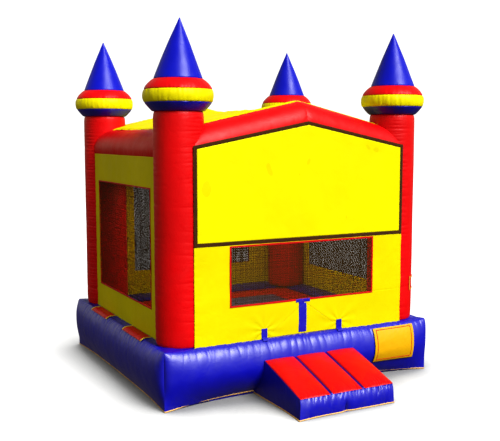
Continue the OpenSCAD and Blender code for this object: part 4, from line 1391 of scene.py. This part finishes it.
def anchor_tabs():
    """Webbing tabs sewn to the base, each folded round the bar of its ring."""
    grids = []
    for side, sx in (("left", -1), ("right", 1)):
        node = f"d_ring_{side}"
        x_c = (low(node).x + high(node).x) / 2
        wire = (high(node).y - low(node).y) / 2
        y_bar, z_bar = (low(node).y + high(node).y) / 2, high(node).z - wire
        r = wire + 0.0022
        curl = [(y_bar + r * math.cos(t), z_bar + r * math.sin(t)) for t in np.linspace(math.radians(-200), math.radians(150), 34)]
        strap = [(HALF_D + 0.062, z_bar + 0.095), (HALF_D + 0.080, z_bar + 0.088), (y_bar - 0.022, z_bar + 0.050), (y_bar - 0.010, z_bar + 0.022)]
        yz = np.asarray(strap + curl[::-1])
        path = np.concatenate([np.full((len(yz), 1), x_c), yz], 1)
        dense = np.stack([np.interp(np.linspace(0, 1, 90), np.linspace(0, 1, len(path)), path[:, c]) for c in range(3)], 1)
        grids.append((box_strip(dense, (0.042, 0, 0), 0.0026, 250 + sx), RING))
        square = [(x_c - 0.045, z_bar + 0.07), (x_c + 0.045, z_bar + 0.16)]
        xs, zs = grid_of(np.linspace(square[0][0], square[1][0], 12), np.linspace(square[0][1], square[1][1], 12))
        out = BULGE * np.sin(math.pi / 2 * np.clip(zs / BULGE_Z, 0, 1)) ** 0.9
        face = points_of(xs, HALF_D + out + 0.004, zs)
        under = face - np.array([0, 0.010, 0])
        grids.append((face, OPEN))
        grids.append((under, OPEN))
    obj = shell("anchor_webbing", grids)
    finished(obj, WEBBING, ["anchor_tabs"])
    for side in ("left", "right"):
        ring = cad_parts[f"d_ring_{side}"]
        ring.data.materials.clear()
        ring.data.materials.append(STEEL)


def zip_closure():
    """Tape, meshed teeth and end stops; the slider keeps its CAD shape, in steel."""
    z_c = (low("zip_closure").z + high("zip_closure").z) / 2
    x0, x1 = low("zip_closure").x, high("zip_closure").x
    y0 = low("zip_closure").y
    k = np.linspace(x0, x1, 90)
    tape = box_strip(np.stack([k, np.full(90, y0 + 0.0015), np.full(90, z_c)], 1), (0, 0, 0.036), 0.0022, 261)
    obj = shell("zip_tape", [(tape, RING)])
    finished(obj, BLACK_WEBBING, ["zip_closure"])
    teeth = []
    count = int((x1 - x0 - 0.02) / 0.0052)
    for i in range(count):
        x = x0 + 0.010 + 0.0052 * i
        up = 1 if i % 2 else -1
        bar = np.stack([np.full(4, x), np.full(4, y0 + 0.0042), z_c + up * np.linspace(-0.0012, 0.0038, 4)], 1)
        teeth.append((box_strip(bar, (0.0030, 0, 0), 0.0026), RING))
    for x in (x0 + 0.004, x1 - 0.004):
        bar = np.stack([np.full(4, x), np.full(4, y0 + 0.006), np.linspace(z_c - 0.007, z_c + 0.007, 4)], 1)
        teeth.append((box_strip(bar, (0.007, 0, 0), 0.008), RING))
    obj = shell("zip_teeth", teeth)
    finished(obj, STEEL)
    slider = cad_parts["zip_slider"]
    slider.data.materials.clear()
    slider.data.materials.append(STEEL)


def baffles():
    """The floor's inner webs keep their CAD shape: plain coated cloth, never seen from outside."""
    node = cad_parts["floor_baffles"]
    node.data.materials.clear()
    node.data.materials.append(FLOOR_VINYL)


# ---- Camera, light and floor ----


def camera():
    data = bpy.data.cameras.new("camera")
    data.lens = 57.39
    data.sensor_width = 36
    obj = bpy.data.objects.new("camera", data)
    bpy.context.scene.collection.objects.link(obj)
    obj.location = (-5.397, -10.453, 3.284)
    obj.rotation_euler = (math.radians(90 - 6.0), 0, math.radians(-27.89))
    bpy.context.scene.camera = obj


def lamp(name, kind, energy, place, turn, colour, **values):
    data = bpy.data.lights.new(name, kind)
    data.energy = energy
    data.color = colour
    for key, value in values.items():
        setattr(data, key, value)
    obj = bpy.data.objects.new(name, data)
    obj.location = place
    obj.rotation_euler = [math.radians(angle) for angle in turn]
    bpy.context.scene.collection.objects.link(obj)


def sky():
    """A dim warm sky that lights the shaded sides; the backdrop itself is white."""
    world = bpy.data.worlds.new("studio")
    bpy.context.scene.world = world
    world.use_nodes = True
    tree = world.node_tree
    place = tree.nodes.new("ShaderNodeTexCoord")
    split = tree.nodes.new("ShaderNodeSeparateXYZ")
    height = tree.nodes.new("ShaderNodeMapRange")
    height.inputs["From Min"].default_value = -1.0
    shades = tree.nodes.new("ShaderNodeValToRGB")
    stops = ((0.0, (0.10, 0.08, 0.05)), (0.48, (0.12, 0.10, 0.06)), (0.53, (0.74, 0.70, 0.52)),
             (0.66, (0.66, 0.63, 0.50)), (0.80, (0.36, 0.35, 0.30)), (1.0, (0.30, 0.29, 0.26)))
    elements = shades.color_ramp.elements
    for (position, colour), element in zip((stops[0], stops[-1]), elements):
        element.position, element.color = position, (*colour, 1)
    for position, colour in stops[1:-1]:
        elements.new(position).color = (*colour, 1)
    path = tree.nodes.new("ShaderNodeLightPath")
    backdrop = tree.nodes.new("ShaderNodeMix")
    backdrop.data_type = "RGBA"
    backdrop.inputs[7].default_value = (1, 1, 1, 1)
    for a, b in ((place.outputs["Generated"], split.inputs[0]), (split.outputs["Z"], height.inputs["Value"]),
                 (height.outputs[0], shades.inputs[0]), (shades.outputs[0], backdrop.inputs[6]),
                 (path.outputs["Is Camera Ray"], backdrop.inputs["Factor"]),
                 (backdrop.outputs[2], tree.nodes["Background"].inputs[0])):
        tree.links.new(a, b)


def pale_floor():
    """A plain white floor that glows as well as being lit, with a painted contact shadow that darkens it softly where
    the house stands close over it.
    """
    size = 60
    mesh = bpy.data.meshes.new("floor")
    square = ((-1, -1), (1, -1), (1, 1), (-1, 1))
    mesh.from_pydata([(size * x, size * y, -0.001) for x, y in square], [], [(0, 1, 2, 3)])
    floor = bpy.data.objects.new("floor", mesh)
    bpy.context.scene.collection.objects.link(floor)
    floor.visible_diffuse = False
    floor.visible_glossy = False
    n = Nodes("pale_floor")
    place = n.new("TexCoord").outputs["Object"]
    n.link(n.mix(n.noise(place, 0.8, 2.0), (0.20, 0.20, 0.20), (0.22, 0.22, 0.22)), n.shader.inputs["Base Color"])
    n.shader.inputs["Roughness"].default_value = 0.9
    n.shader.inputs["Specular IOR Level"].default_value = 0.0
    # Painted contact shadow: ambient occlusion dims the floor's glow close under the house.
    painted_shadow_ao = n.new("AmbientOcclusion", samples=8, Distance=0.75).outputs["AO"]
    n.link(n.mix(n.spread(painted_shadow_ao, 0.41, 0.96, 0.0, 1.0), (0.02, 0.02, 0.02), (0.86, 0.86, 0.86)),
           n.shader.inputs["Emission Color"])
    n.shader.inputs["Emission Strength"].default_value = 1.0
    floor.data.materials.append(n.material)


def studio():
    """White backdrop and floor, one broad key light and the glow that the roof lets through."""
    sky()
    pale_floor()
    lamp("key", "SUN", 5.4, (0, 0, 6), (50, 0, 15), (1.0, 1.0, 1.0), angle=math.radians(30))
    lamp("roof_glow", "AREA", 125, (0, 0, 2.62), (0, 0, 0), (1.0, 0.74, 0.42), shape="RECTANGLE", size=2.3, size_y=2.1)
    view = bpy.context.scene.view_settings
    view.view_transform = "Standard"
    view.look = "Medium High Contrast"


camera()
studio()
base_tube("base_front", HALF_W, HALF_D, 0, 11, 620, FOOT_IN["front"])
base_tube("base_back", HALF_W, HALF_D, 180, 12, 520, FOOT_IN["front"])
base_tube("base_left", HALF_D, HALF_W, -90, 13, 560, FOOT_IN["side"])
base_tube("base_right", HALF_D, HALF_W, 90, 14, 480, FOOT_IN["side"])
for number, (where, sx, sy) in enumerate((("front_left", -1, -1), ("front_right", 1, -1),
                                          ("back_left", -1, 1), ("back_right", 1, 1))):
    column(f"column_{where}", sx, sy, 20 + number)
    turret(where, sx, sy, 300 + 100 * number)
gable_beam("gable_beam_front", 0, 31, APEX_X)
gable_beam("gable_beam_back", 180, 36, 0.0)
side_beam("side_beam_left", 0, 41)
side_beam("side_beam_right", 180, 46)
roof_cover()
front_wall()
back_wall()
side_wall("left", -90, 111)
side_wall("right", 90, 116)
net("front", FRONT_WINDOW, FRONT_PLANE - 0.004, 0)
net("back", SIDE_WINDOW, FRONT_PLANE - 0.004, 180)
net("left", SIDE_WINDOW, SIDE_PLANE - 0.004, -90)
net("right", SIDE_WINDOW, SIDE_PLANE - 0.004, 90)
window_trims()
banner()
entrance_flaps()
slit_cover()
entrance_straps()
wall_patches()
rules_patch()
ground_piping()
tether_loops()
bounce_floor()
ramp_body()
ramp_treads()
air_sleeve()
anchor_tabs()
zip_closure()
baffles()
